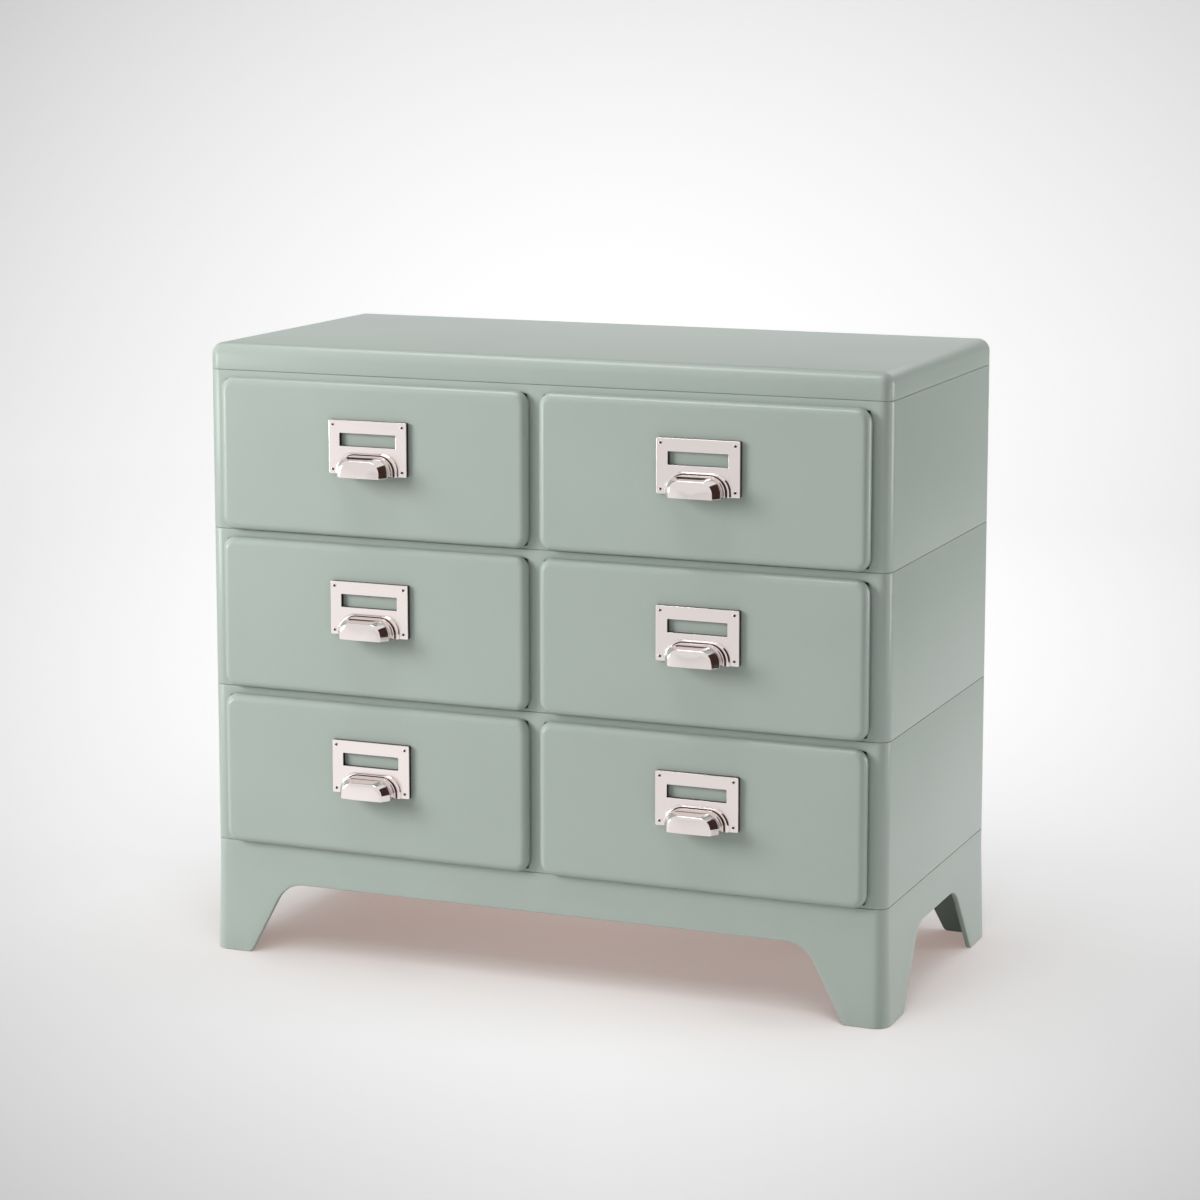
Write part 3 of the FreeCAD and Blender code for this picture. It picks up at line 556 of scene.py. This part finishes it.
def make_plinth():
    """The plinth's section carried round its plan.

    A place on the plan moves outwards along its normal by flare * (1 - z / flare_height) and never
    less than nothing. The lower edge is rounded on both skins, and the rounding moves along the
    edge's own normal.
    """
    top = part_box("base_plinth")[1][2]
    quarter = np.linspace(0, np.pi / 2, BIG_ARC + 1)[1:-1]
    front = side_run(half_width, front_foot - flare, front_lean)
    side = side_run(half_depth, side_foot - flare, side_lean)
    plan, outward, along, edge = [], [], [], []
    runs = (
        (front, half_width, half_depth, (1, 0), (0, -1)),
        (side, half_depth, half_width, (0, 1), (1, 0)),
        (front, half_width, half_depth, (-1, 0), (0, 1)),
        (side, half_depth, half_width, (0, -1), (-1, 0)),
    )
    for run, half_length, distance, direction, normal in runs:
        direction, normal = np.array(direction), np.array(normal)
        plan.append(run[:, :1] * direction + distance * normal)
        outward.append(np.broadcast_to(normal, (len(run), 2)))
        along.append(np.broadcast_to(direction, (len(run), 2)))
        edge.append(run[:, 1:])
        arc_normal = np.cos(quarter)[:, None] * normal + np.sin(quarter)[:, None] * direction
        centre = (half_length - corner_radius) * direction + (distance - corner_radius) * normal
        plan.append(centre + corner_radius * arc_normal)
        outward.append(arc_normal)
        along.append(np.zeros_like(arc_normal))
        edge.append(np.broadcast_to(np.array([0, 0, -1]), (len(quarter), 3)))
    plan, outward, along, edge = (np.concatenate(part) for part in (plan, outward, along, edge))
    up, sideways, downward = edge[:, :1], edge[:, 1:2], edge[:, 2:3]

    def station(inset, raised, height=None):
        """Points inset from the outer skin, and raised from the lower edge or at one height."""
        z = np.full_like(up, height) if height is not None else up - downward * raised
        shift = 0 if height is not None else -sideways * raised
        growth = flare * np.clip(1 - z / flare_height, 0, 1) - inset
        place = plan + outward * growth + along * shift
        return np.concatenate([place, z], axis=1)

    joint = zip(*(part[::-1] for part in joint_edge()))
    outer = [station(inset, 0, top - space) for inset, space in joint]
    levels = np.linspace(0, 1, 5)[1:-1]
    lowest = station(0, plinth_edge)
    knee = station(0, 0, flare_height)
    outer.append(knee)
    outer += [knee + (lowest - knee) * share for share in levels]
    insets, rises = quarter_round(plinth_edge, SMALL_ARC)
    turn = list(zip(insets, plinth_edge - rises))
    outer += [station(inset, raised) for inset, raised in turn]
    inner = [station(plinth_wall - inset, raised) for inset, raised in turn[::-1]]
    inner_top = top - plinth_wall
    inner.append(station(plinth_wall, 0, inner_top))
    ring = np.array(outer + inner)
    ring = np.concatenate([ring, ring[:, :1]], axis=1)
    ring[..., 1] += middle_y
    return ring, inner_top, top


def ceiling(ring_edge, height):
    """A flat fill of an outline: the outline joined to a line along its middle."""
    line = ring_edge.copy()
    line[:, 0] = np.clip(line[:, 0], -ridge_half, ridge_half)
    line[:, 1] = middle_y
    line[:, 2] = height
    return np.array([ring_edge, line])


plinth_ring, plinth_ceiling, plinth_top = make_plinth()
plinth = add_piece(
    "plinth",
    [plinth_ring, ceiling(plinth_ring[-1], plinth_ceiling), ceiling(plinth_ring[0], plinth_top)],
    "cabinet", ["base_plinth"], [carcass_plastic],
)
moulded.append(plinth)
print("plinth:", len(plinth.data.polygons), "faces")

# %% [markdown]
# ## The drawer fronts
#
# A front is a thick plate with round corners and a big soft edge that catches the light along its
# top and left. Its rear edge is eased, which makes the gaps between the fronts a little softer. From
# behind it is cored out in ten cells, as thick mouldings are, so that the plastic cools evenly. The
# face closes on a line along its middle; each cell is a small ring with a floor.

# %% Make the drawer fronts
front_corner = 14 * MM
front_edge = 8 * MM
front_margin = 2 * MM
rear_ease = 2 * MM
front_rim = 4 * MM
front_web = 2.5 * MM
front_skin = 3 * MM
cell_radius = 9 * MM


def front_outer_grid(low, high):
    """The skin of a front: from the rear rim round the edge, over the face to its middle line."""
    inset, rise = quarter_round(front_edge, BIG_ARC)
    insets = np.concatenate([[rear_ease, 0], inset])
    depths = np.concatenate([[high[1], high[1] - rear_ease], low[1] + front_edge - rise])

    def outline(drawn_in):
        return rounded_loop(low[0] + drawn_in, high[0] - drawn_in, low[2] + drawn_in,
                            high[2] - drawn_in, front_corner - drawn_in)

    loops = [outline(inset) for inset in insets]
    loops.append(outline(front_edge + front_margin))
    half_height = (high[2] - low[2]) / 2
    middle = (high[2] + low[2]) / 2
    loops.append(rounded_loop(low[0] + half_height, high[0] - half_height, middle, middle, 0))
    depths = [*depths, low[1], low[1]]
    return upright_grid(loops, depths)


def front_back_grids(low, high):
    """The cored back: a rim, and five by two cells with round corners and a floor each."""
    columns, rows = 5, 2
    rim_loop = rounded_loop(low[0] + rear_ease, high[0] - rear_ease, low[2] + rear_ease,
                            high[2] - rear_ease, front_corner - rear_ease)
    x = np.linspace(low[0] + front_rim - front_web / 2, high[0] - front_rim + front_web / 2, columns + 1)
    z = np.linspace(low[2] + front_rim - front_web / 2, high[2] - front_rim + front_web / 2, rows + 1)
    field = rounded_loop(x[0], x[-1], z[0], z[-1], 0)
    grids = [upright_grid([rim_loop, field], [high[1], high[1]])]
    floor = low[1] + front_skin
    web = front_web / 2
    for x0, x1 in zip(x[:-1], x[1:]):
        for z0, z1 in zip(z[:-1], z[1:]):
            edge = rounded_loop(x0, x1, z0, z1, 0, arc=4, side=4)
            mouth = rounded_loop(x0 + web, x1 - web, z0 + web, z1 - web, cell_radius, arc=4, side=4)
            half = (x1 - x0) / 2 - web
            middle = (x0 + x1) / 2
            reach = (z1 - z0) / 2 - half
            centre = (z0 + z1) / 2
            line = rounded_loop(middle, middle, centre - reach, centre + reach, 0, arc=4, side=4)
            grids.append(upright_grid([edge, mouth, mouth, line], [high[1], high[1], floor, floor]))
    return grids


for drawer in DRAWERS:
    low, high = np.array(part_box(f"drawer_front_{drawer}"))
    piece = add_piece(f"front_{drawer}", [front_outer_grid(low, high), *front_back_grids(low, high)],
                      f"drawer_{drawer}", [f"drawer_front_{drawer}"], [front_plastic])
    moulded.append(piece)
print("front:", len(piece.data.polygons), "faces")

# %% [markdown]
# ## The label holders
#
# Each holder is a shallow pan of pressed metal with crisp, slightly eased edges and a window for a
# paper label. One ring of stations makes it: from the back, round the outside, over the face to the
# window and through it to the back again. The sides of the pan and of the window have a dark metal:
# painted shade and dark reflection.

# %% Make the label holders
plate_corner = 1.5 * MM
plate_edge = 0.6 * MM
window_half = 32.3 * MM
window_height = 13.7 * MM
window_drop = 13.5 * MM
window_radius = 0.4 * MM
window_edge = 0.35 * MM
plate_margin = 0.5 * MM
sideways_limit = 0.2


def plate_grid(low, high):
    """A closed ring: outer outline drawn in over the rounded edge, then the window's outline."""
    back, face = high[1], low[1]
    middle = (low[0] + high[0]) / 2
    window_top = high[2] - window_drop

    def outer(inset):
        return rounded_loop(low[0] + inset, high[0] - inset, low[2] + inset, high[2] - inset,
                            plate_corner - inset, arc=6)

    def window(growth):
        return rounded_loop(middle - window_half - growth, middle + window_half + growth,
                            window_top - window_height - growth, window_top + growth,
                            window_radius + growth, arc=6)

    inset, rise = quarter_round(plate_edge, 5)
    loops = [outer(0), *[outer(step) for step in inset], outer(plate_edge + plate_margin)]
    depths = [back, *(face + plate_edge - rise), face]
    inset, rise = quarter_round(window_edge, SMALL_ARC)
    loops += [window(window_edge + plate_margin), *[window(step) for step in inset[::-1]]]
    depths += [face, *(face + window_edge - rise[::-1])]
    loops += [window(0), outer(0)]
    depths += [back, back]
    return upright_grid(loops, depths)


def paint_plate_side_shade(mesh):
    """Gives the painted shade and dark reflection, slot 1, to every face that looks sideways, up or
    down.
    """
    normals = np.zeros(3 * len(mesh.polygons))
    mesh.polygons.foreach_get("normal", normals)
    sideways = np.abs(normals.reshape(-1, 3)[:, 1]) < sideways_limit
    mesh.polygons.foreach_set("material_index", sideways.astype(np.int32))


for drawer in DRAWERS:
    low, high = np.array(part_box(f"label_plate_{drawer}"))
    plate = add_piece(f"plate_{drawer}", [plate_grid(low, high)], f"drawer_{drawer}",
                      [f"label_plate_{drawer}"], [plate_nickel, painted_side_shade])
    paint_plate_side_shade(plate.data)
print("label holder:", len(plate.data.polygons), "faces")

# %% [markdown]
# ## The pins of the label holders
#
# A tubular rivet holds each corner of a holder. Its rolled rim catches the light as a small bright
# ring, and the hollow in its middle is in shade. The rivet is its section turned about its own axis,
# and the hollow has a dark material of its own, painted shade, because so small a hole would need
# many light bounces. The frame's pins have a head of radius pin_head, so their axes lie that far
# inside the box of the four.

# %% Make the pins
rivet_radius = 1.9 * MM
rivet_hollow = 1.35 * MM
rivet_shank = 0.95 * MM
rivet_rise = 0.8 * MM
rivet_roll = 0.3 * MM
rivet_bevel = 0.1 * MM
rivet_floor = 0.15 * MM
rivet_dish = 0.1 * MM
pin_head = 2 * MM


def rivet_grid(x, z, face, back, steps=20):
    """A closed surface of revolution about the line along y through (x, z).

    A row of the section is (radius, out): its ring is (x + r cos a, face - out, z + r sin a).
    """
    quarter = np.linspace(0, np.pi / 2, SMALL_ARC + 1)
    rim = np.stack([rivet_radius - rivet_roll + rivet_roll * np.cos(quarter),
                    rivet_rise - rivet_roll + rivet_roll * np.sin(quarter)], axis=1)
    section = np.concatenate([
        [(0, face - back), (rivet_shank, face - back), (rivet_shank, 0), (rivet_radius, 0)],
        rim,
        [(rivet_hollow + rivet_bevel, rivet_rise), (rivet_hollow, rivet_rise - rivet_bevel),
         (rivet_hollow, rivet_floor), (0, rivet_dish)],
    ])
    angle = np.linspace(0, 2 * np.pi, steps + 1)
    radius, out = section[:, :1], section[:, 1:]
    return np.stack([x + radius * np.cos(angle), face - out + 0 * angle,
                     z + radius * np.sin(angle)], axis=2)


def paint_hollow_shade(mesh, centres):
    """Gives the painted shade, slot 1, to the faces in the hollows of the rivets.

    A hundredth more than the hollow's radius takes in its wall, and the rim is left out.
    """
    places = np.zeros(3 * len(mesh.polygons))
    mesh.polygons.foreach_get("center", places)
    places = places.reshape(-1, 3)
    face = places[:, 1].min() + rivet_rise
    away = np.min([np.hypot(places[:, 0] - x, places[:, 2] - z) for x, z in centres], axis=0)
    inside = (away < rivet_hollow * 1.01) & (places[:, 1] < face)
    mesh.polygons.foreach_set("material_index", inside.astype(np.int32))


# Painted shade for the hollows of the rivets.
painted_hollow_shade = polished_metal("painted_hollow_shade", shaded(PAINTED_SHADE_NICKEL, 0.2), 0.4)
for drawer in DRAWERS:
    low, high = np.array(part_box(f"plate_screws_{drawer}"))
    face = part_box(f"label_plate_{drawer}")[0][1]
    centres = [(x, z) for x in (low[0] + pin_head, high[0] - pin_head)
               for z in (low[2] + pin_head, high[2] - pin_head)]
    pins = add_piece(f"pins_{drawer}", [rivet_grid(x, z, face, high[1]) for x, z in centres],
                     f"drawer_{drawer}", [f"plate_screws_{drawer}"],
                     [pin_nickel, painted_hollow_shade])
    paint_hollow_shade(pins.data, centres)
print("pins:", len(pins.data.polygons), "faces")

# %% [markdown]
# ## The cup pulls
#
# The cup pull is pressed from one sheet: a flat flange, a tight bend, a cup wall that stands out from
# the plate, a bevel and a nearly flat nose. Its outline is an arch that is open below for the
# fingers. The surface carries that arch along the pull's section, drawing it in as it comes forward,
# and a Solidify modifier gives the sheet its thickness. The crease between the flange's raised bead
# and the wall has a dark material of its own: painted shade in the tight bend.

# %% The outline and the section of a cup pull
pull_sheet = 1.5 * MM
bend_share = 0.49


def arch_loop(half, height, radius, steps=20):
    """An arch open below, from its left foot over the top to its right foot.

    Straight up the left side, a quarter circle, along the top, a quarter circle and straight down.
    """
    share = np.linspace(0, 1, 7)[:, None]
    quarter = np.linspace(0, np.pi / 2, steps + 1)
    left = np.array([-half + radius, height - radius]) + radius * np.stack(
        [-np.cos(quarter), np.sin(quarter)], axis=1)
    up = np.array([-half, 0]) + (left[0] - np.array([-half, 0])) * share[:-1]
    right = left[::-1] * np.array([-1, 1])
    across = left[-1] + (right[0] - left[-1]) * share[1:-1]
    down = up[::-1] * np.array([-1, 1])
    return np.concatenate([up, left, across, right, down])


def smooth_section(corners, steps=6):
    """A polyline of rows (out, half, height, radius) with every inner corner rounded.

    Each row ends with its softness, how far the bend reaches from the corner. The bend is a quadratic
    curve from the point before the corner to the point after it: (1-t)^2 a + 2t(1-t) corner + t^2 b.
    It takes up at most bend_share of a stretch, so that two bends never meet.
    """
    rows, soft = corners[:, :4], corners[:, 4]
    share = np.linspace(0, 1, steps + 1)[:, None]
    path = [rows[:1]]
    for before, here, after, reach in zip(rows, rows[1:], rows[2:], soft[1:]):
        span_in, span_out = np.linalg.norm(here[:3] - before[:3]), np.linalg.norm(after[:3] - here[:3])
        start = here + (before - here) * min(reach / span_in, bend_share)
        end = here + (after - here) * min(reach / span_out, bend_share)
        path.append((1 - share) ** 2 * start + 2 * share * (1 - share) * here + share ** 2 * end)
    path.append(rows[-1:])
    return np.concatenate(path)


PULL_WALL = MM * np.array([
    (0.2, 35.5, 23.5, 19.0, 0),
    (0.7, 35.5, 23.5, 19.0, 0.3),
    (1.9, 33.6, 22.7, 18.4, 0.5),
    (1.9, 31.9, 22.0, 17.9, 0.5),
    (1.0, 31.2, 21.6, 17.6, 0.4),
    (1.0, 30.6, 21.4, 17.3, 0.5),
    (13.8, 29.8, 20.8, 15.5, 1.2),
    (22.6, 23.7, 17.3, 12.2, 0.9),
    (23.1, 21.4, 15.7, 11.0, 0),
])
nose_reach = 24 * MM
nose_rows = 12

# %% [markdown]
# The nose is not quite flat: it swells by less than a millimetre towards its middle. A mirror shows
# such a crown at once, as a soft change of tone over the face, so it is a smooth curve of its own.

# %% Make the cup pulls
def nose_section():
    """Rows from the nose's edge to its middle: out = reach - crown * s^2, all else shrinks with s."""
    edge = PULL_WALL[-1, :4]
    share = np.linspace(1, 0, nose_rows + 1)[1:, None]
    rows = edge * share
    rows[:, :1] = nose_reach - (nose_reach - edge[0]) * share ** 2
    return rows


def pull_grid(low, high):
    """The arch carried along the section, from the flange's edge to the middle of the nose."""
    middle = (low[0] + high[0]) / 2
    rows = np.concatenate([smooth_section(PULL_WALL), nose_section()])
    loops = np.array([arch_loop(*row[1:4]) for row in rows])
    grid = upright_grid(loops, high[1] - rows[:, 0])
    grid[..., 0] += middle
    grid[..., 2] += low[2]
    return grid


def paint_crease_shade(mesh, grid, back):
    """Gives the painted shade, slot 1, to the faces between the flange's bead and the wall's foot.

    The faces lie in rows as the grid does, so a row is dark when both its ends stand out less than
    crease_out, and its half width is between the wall's foot and the bead's inner side.
    """
    out = back - grid[:, 0, 1]
    half = np.ptp(grid[..., 0], axis=1) / 2
    dark = (out < crease_out) & (half < crease_half)
    rows = dark[:-1] & dark[1:]
    columns = grid.shape[1] - 1
    assert len(mesh.polygons) == len(rows) * columns
    mesh.polygons.foreach_set("material_index", np.repeat(rows, columns).astype(np.int32))


crease_out = 1.6 * MM
crease_half = 31.8 * MM
# Painted shade for the crease between the flange's bead and the wall.
painted_crease_shade = polished_metal("painted_crease_shade", shaded(PAINTED_SHADE_NICKEL, 0.5), 0.25)
for drawer in DRAWERS:
    low, high = np.array(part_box(f"cup_pull_{drawer}"))
    grid = pull_grid(low, high)
    pull = add_piece(f"pull_{drawer}", [grid], f"drawer_{drawer}",
                     [f"cup_pull_{drawer}"], [pull_nickel, painted_crease_shade])
    thickness = pull.modifiers.new("sheet", "SOLIDIFY")
    thickness.thickness = pull_sheet
    thickness.offset = -1
    paint_crease_shade(pull.data, grid, high[1])
print("pull:", len(pull.data.polygons), "faces")

# %% [markdown]
# ## Pieces kept from the frame
#
# The trays, rails, partitions, back panels, stacking pins and screws already have their true shape in
# the frame. They only need their materials.

# %% Give the kept nodes their materials
KEPT = [
    (tray_plastic, "drawer_box"),
    (rail_plastic, ("runner_rails", "stacking_pins")),
    (inner_plastic, "centre_partition"),
    (back_plastic, "back_panel"),
    (zinc, ("back_screws", "rail_screws", "pull_screws", "front_screws")),
]
for node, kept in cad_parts.items():
    for material, starts in KEPT:
        if node.startswith(starts):
            kept.data.materials.clear()
            kept.data.materials.append(material)

# %% [markdown]
# ## The floor of the studio
#
# A pale floor runs in a curve up to a pale wall, like paper from a roll. It also has a painted glow,
# which only the camera and reflections see, so it looks nearly white and still takes the cabinet's
# shadow. Under the cabinet the glow is weaker and warmer: a painted shadow, from ambient occlusion.

# %% Make the floor
sight_turn = math.radians(22.287)
glow_half = 0.76
glow_height = 0.585
glow_power = 1.461
glow_bright = 0.83
far_fade, near_fade = 0.085, 0.30
near_edge, far_edge = -0.81, 3.78
near_dim = 0.586
paper_seen = (0.50, 0.50, 0.50)
paper_bounce = (0.60, 0.60, 0.60)
# The painted shadow under the cabinet: ambient occlusion within shelter_reach weakens and warms the
# glow.
shelter_reach = 0.25
shelter_end = 0.25
painted_shadow_tint = (0.75, 0.56, 0.50)


def studio_floor():
    """A large floor with a curved sweep up to a wall behind the cabinet."""
    reach, front_y, turn_radius, wall_y, wall_height = 9, -6, 2, 5, 6
    angle = np.linspace(0, np.pi / 2, 17)
    sweep = np.stack([wall_y - turn_radius + turn_radius * np.sin(angle),
                      turn_radius * (1 - np.cos(angle))], axis=1)
    profile = np.concatenate([[(front_y, 0)], sweep, [(wall_y, wall_height)]])
    grid = np.stack([np.insert(profile, 0, x, axis=1) for x in (-reach, reach)], axis=1)
    mesh = bpy.data.meshes.new("studio_floor")
    mesh.from_pydata(grid.reshape(-1, 3), [], grid_quads(*grid.shape[:2]))
    mesh.shade_smooth()
    floor = new_object("studio_floor", mesh)
    return floor


def math_node(tree, operation, first, *values):
    """A Math node. Its first input is a link, and each further one a link or a number."""
    node = tree.nodes.new("ShaderNodeMath")
    node.operation = operation
    tree.links.new(first, node.inputs[0])
    for socket, value in zip(node.inputs[1:], values):
        if isinstance(value, (int, float)):
            socket.default_value = value
        else:
            tree.links.new(value, socket)
    return node.outputs["Value"]


def turned_axes(tree, turn, origin=(0, 0, 0)):
    """The x, y and z of a place, from an origin and along axes turned about z by an angle."""
    place = tree.nodes.new("ShaderNodeTexCoord")
    turned = tree.nodes.new("ShaderNodeMapping")
    turned.vector_type = "TEXTURE"
    turned.inputs["Location"].default_value = origin
    turned.inputs["Rotation"].default_value = (0, 0, turn)
    tree.links.new(place.outputs["Object"], turned.inputs["Vector"])
    axes = tree.nodes.new("ShaderNodeSeparateXYZ")
    tree.links.new(turned.outputs["Vector"], axes.inputs["Vector"])
    return axes.outputs


def floor_material():
    """Matt paper with a glow that the camera and mirrors see, and that lights nothing.

    With u across the camera's sight and v along it, the glow is
    bright - fade * r ** power - dim * n ** 3. Here r is the length of (u / half, z / height), and n
    goes from 1 to 0 between the near and the far edge of v. fade grows with n too. The lamps light
    the paper unevenly, and the glow is painted light that makes up for it. Where the cabinet shelters
    the paper, ambient occlusion makes the glow weaker and warmer: a painted shadow. The camera sees
    the paper in another tone than the light that bounces.
    """
    material, tree, shader = node_material("studio_paper")
    shader.inputs["Roughness"].default_value = 1
    shader.inputs["Specular IOR Level"].default_value = 0
    rays = tree.nodes.new("ShaderNodeLightPath").outputs
    paper = [(0, paper_bounce), (1, paper_seen)]
    ramp_node(tree, rays["Is Camera Ray"], paper, shader.inputs["Base Color"])
    axes = turned_axes(tree, sight_turn)
    across = math_node(tree, "DIVIDE", axes["X"], glow_half)
    upward = math_node(tree, "DIVIDE", axes["Z"], glow_height)
    squares = [math_node(tree, "POWER", length, 2) for length in (across, upward)]
    spread = math_node(tree, "POWER", math_node(tree, "ADD", *squares), glow_power / 2)
    nearness = range_node(tree, axes["Y"], 1, 0, near_edge, far_edge)
    fade = range_node(tree, nearness, -far_fade, -near_fade)
    near_part = math_node(tree, "POWER", nearness, 3)
    level = math_node(tree, "MULTIPLY_ADD", near_part, -near_dim, glow_bright)
    level = math_node(tree, "ADD", math_node(tree, "MULTIPLY", spread, fade), level)
    level = math_node(tree, "MAXIMUM", level, 0)
    shown = math_node(tree, "MAXIMUM", rays["Is Camera Ray"], rays["Is Glossy Ray"])
    shown = math_node(tree, "MAXIMUM", shown, rays["Is Transmission Ray"])
    glow = tree.nodes.new("ShaderNodeEmission")
    # Painted shadow: ambient occlusion darkens and warms the glow under the cabinet.
    shelter = tree.nodes.new("ShaderNodeAmbientOcclusion")
    shelter.samples = 8
    shelter.inputs["Distance"].default_value = shelter_reach
    painted_shadow_ramp = [(shelter_end, painted_shadow_tint), (1, (1, 1, 1))]
    ramp_node(tree, shelter.outputs["AO"], painted_shadow_ramp, glow.inputs["Color"])
    tree.links.new(math_node(tree, "MULTIPLY", level, shown), glow.inputs["Strength"])
    total = tree.nodes.new("ShaderNodeAddShader")
    tree.links.new(shader.outputs["BSDF"], total.inputs[0])
    tree.links.new(glow.outputs["Emission"], total.inputs[1])
    tree.links.new(total.outputs["Shader"], tree.nodes["Material Output"].inputs["Surface"])
    return material


floor = studio_floor()
floor.data.materials.append(floor_material())
print("floor:", len(floor.data.polygons), "faces")

# %% [markdown]
# ## The lamps
#
# Six soft lamps light the scene. The broad key from the upper left and a fill from behind light all
# but the floor, which has a lamp of its own, so that the shadow lies under the cabinet. Reflections
# don't see the key and the fill, or the cover would glare from other sides. Weaker lamps stand
# overhead, at the right and at the back. Two more, the glints, cast no diffuse light: they give only
# the highlights along the left and the right edges of the mouldings.

# %% Place the lamps
def area_light(name, place, target, size, power):
    """A soft rectangular light of a power in watts at a place, turned towards a target."""
    lamp = bpy.data.lights.new(name, "AREA")
    lamp.shape = "RECTANGLE"
    lamp.size, lamp.size_y = size
    lamp.energy = power
    light = new_object(name, lamp)
    away = np.array(place) - np.array(target)
    azimuth = math.atan2(away[1], away[0])
    light.location = place
    light.rotation_euler = (math.acos(away[2] / np.linalg.norm(away)), 0, azimuth + math.pi / 2)
    return light


def link_light(light, things, state):
    """Makes a light fall on some things only (INCLUDE), or on all but them (EXCLUDE)."""
    group = bpy.data.collections.new(f"{light.name}_receivers")
    for thing in things:
        group.objects.link(thing)
    light.light_linking.receiver_collection = group
    for entry in group.collection_objects:
        entry.light_linking.link_state = state


cabinet_middle = (0, 0, 0.35)
key = area_light("key", (-2.35, -1.85, 1.4), cabinet_middle, (1.3, 1.3), 76)
floor_lamp = area_light("floor_lamp", (0.5, -2.0, 3.0), (0, 0, 0), (2.0, 2.0), 62)
area_light("overhead", (-0.6, -0.5, 2.9), (0, 0, 0.66), (2.4, 0.35), 20.5)
right_glint = area_light("right_glint", (1.55, -0.38, 0.5), (0.37, -0.17, 0.4), (0.22, 1.6), 3)
left_glint = area_light("left_glint", (-2.35, -1.85, 0.42), cabinet_middle, (1.3, 0.45), 18)
rear_fill = area_light("rear_fill", (-0.4, 3.4, 1.2), cabinet_middle, (2.4, 1.2), 28)
area_light("right", (2.5, 0.75, 0.6), cabinet_middle, (0.8, 1.2), 18.5)
area_light("back", (0.6, 2.6, 2.2), (0, 0, 0.6), (2.0, 1.0), 11)

for glint in (right_glint, left_glint):
    glint.visible_diffuse = False
for soft in (key, rear_fill):
    soft.visible_glossy = False
    link_light(soft, [floor], "EXCLUDE")
rear_fill.visible_camera = False
link_light(floor_lamp, [floor], "INCLUDE")
link_light(right_glint, moulded, "INCLUDE")
print("lamps:", len(bpy.data.lights))

# %% [markdown]
# ## What the metal mirrors
#
# Polished metal looks like what stands before it. Two cards, which only reflections see, give it the
# tones of the photograph: a dark one at the right makes the dark band on each pull, and a bright
# sheet on the floor before the cabinet makes the noses pale.

# %% Place the cards
card_near, card_far, card_height = (1.55, -2.35), (1.75, 0.15), 2.4
card_brown = (0.035, 0.014, 0.009)
sheet_near, sheet_far, sheet_left, sheet_right = -0.25, -6.0, -6.0, 2.5
mirror_foot = (1.31, 2.85, 0)
mirror_turn = math.radians(23.4)
sheet_blend = 0.18
sheet_reach = (4.2, 8.0)
sheet_full = 1.03
sheet_step = 0.17
sheet_fall = 0.14


def reflection_card(name, corners, material):
    """A flat card that only reflections see."""
    mesh = bpy.data.meshes.new(name)
    mesh.from_pydata(corners, [], [(0, 1, 2, 3)])
    mesh.materials.append(material)
    card = new_object(name, mesh)
    card.visible_camera = False
    card.visible_diffuse = False
    card.visible_shadow = False


def brown_material():
    """Matt and nearly black brown."""
    material, tree, shader = node_material("dark_card")
    shader.inputs["Base Color"].default_value = (*card_brown, 1)
    shader.inputs["Roughness"].default_value = 1
    return material


def sheet_material():
    """A glow of full - fall * s - step * t, and nothing else.

    t goes from 0 to 1 across the line of sight that a mirror on the fronts gives, within blend of
    that line, and s from 0 to 1 along it, between the two distances of reach from its foot.
    """
    material, tree, shader = node_material("white_card")
    axes = turned_axes(tree, -mirror_turn, mirror_foot)
    across = range_node(tree, axes["X"], 0, -sheet_step, -sheet_blend, sheet_blend)
    near, far = sheet_reach
    away = range_node(tree, axes["Y"], sheet_full, sheet_full - sheet_fall, -near, -far)
    glow = tree.nodes.new("ShaderNodeEmission")
    tree.links.new(math_node(tree, "ADD", across, away), glow.inputs["Strength"])
    tree.links.new(glow.outputs["Emission"], tree.nodes["Material Output"].inputs["Surface"])
    tree.nodes.remove(shader)
    return material


upright = [(*card_near, 0), (*card_far, 0), (*card_far, card_height), (*card_near, card_height)]
reflection_card("dark_card", upright, brown_material())
level = [(sheet_left, sheet_far, MM), (sheet_right, sheet_far, MM),
         (sheet_right, sheet_near, MM), (sheet_left, sheet_near, MM)]
reflection_card("white_card", level, sheet_material())

# %% [markdown]
# ## The surround and the camera
#
# The surround gives a weak even light, and looks nearly white to the camera and to reflections. The
# camera stands to the right of the cabinet's middle, above its top, and looks down by a few degrees.
# Its place, its turn and its long lens were fitted to the seams and corners in the photograph.

# %% Place the surround and the camera
surround_light = 0.31
surround_seen = 0.85
camera_pitch = math.radians(8.102)

world = bpy.data.worlds.new("surround")
world.use_nodes = True
tree = world.node_tree
rays = tree.nodes.new("ShaderNodeLightPath").outputs
shown = math_node(tree, "MAXIMUM", rays["Is Camera Ray"], rays["Is Glossy Ray"])
background = tree.nodes["Background"].inputs
tree.links.new(range_node(tree, shown, surround_light, surround_seen), background["Strength"])
background["Color"].default_value = (1, 1, 1, 1)
bpy.context.scene.world = world
bpy.context.scene.view_settings.view_transform = "Standard"

camera_data = bpy.data.cameras.new("camera")
camera_data.lens = 97.4
camera_data.sensor_width = 36
camera_data.shift_y = -0.1168
camera_data.clip_end = 50
camera = new_object("camera", camera_data)
camera.location = (1.3106, -3.1870, 1.0274)
camera.rotation_euler = (math.pi / 2 - camera_pitch, 0, sight_turn)
bpy.context.scene.camera = camera
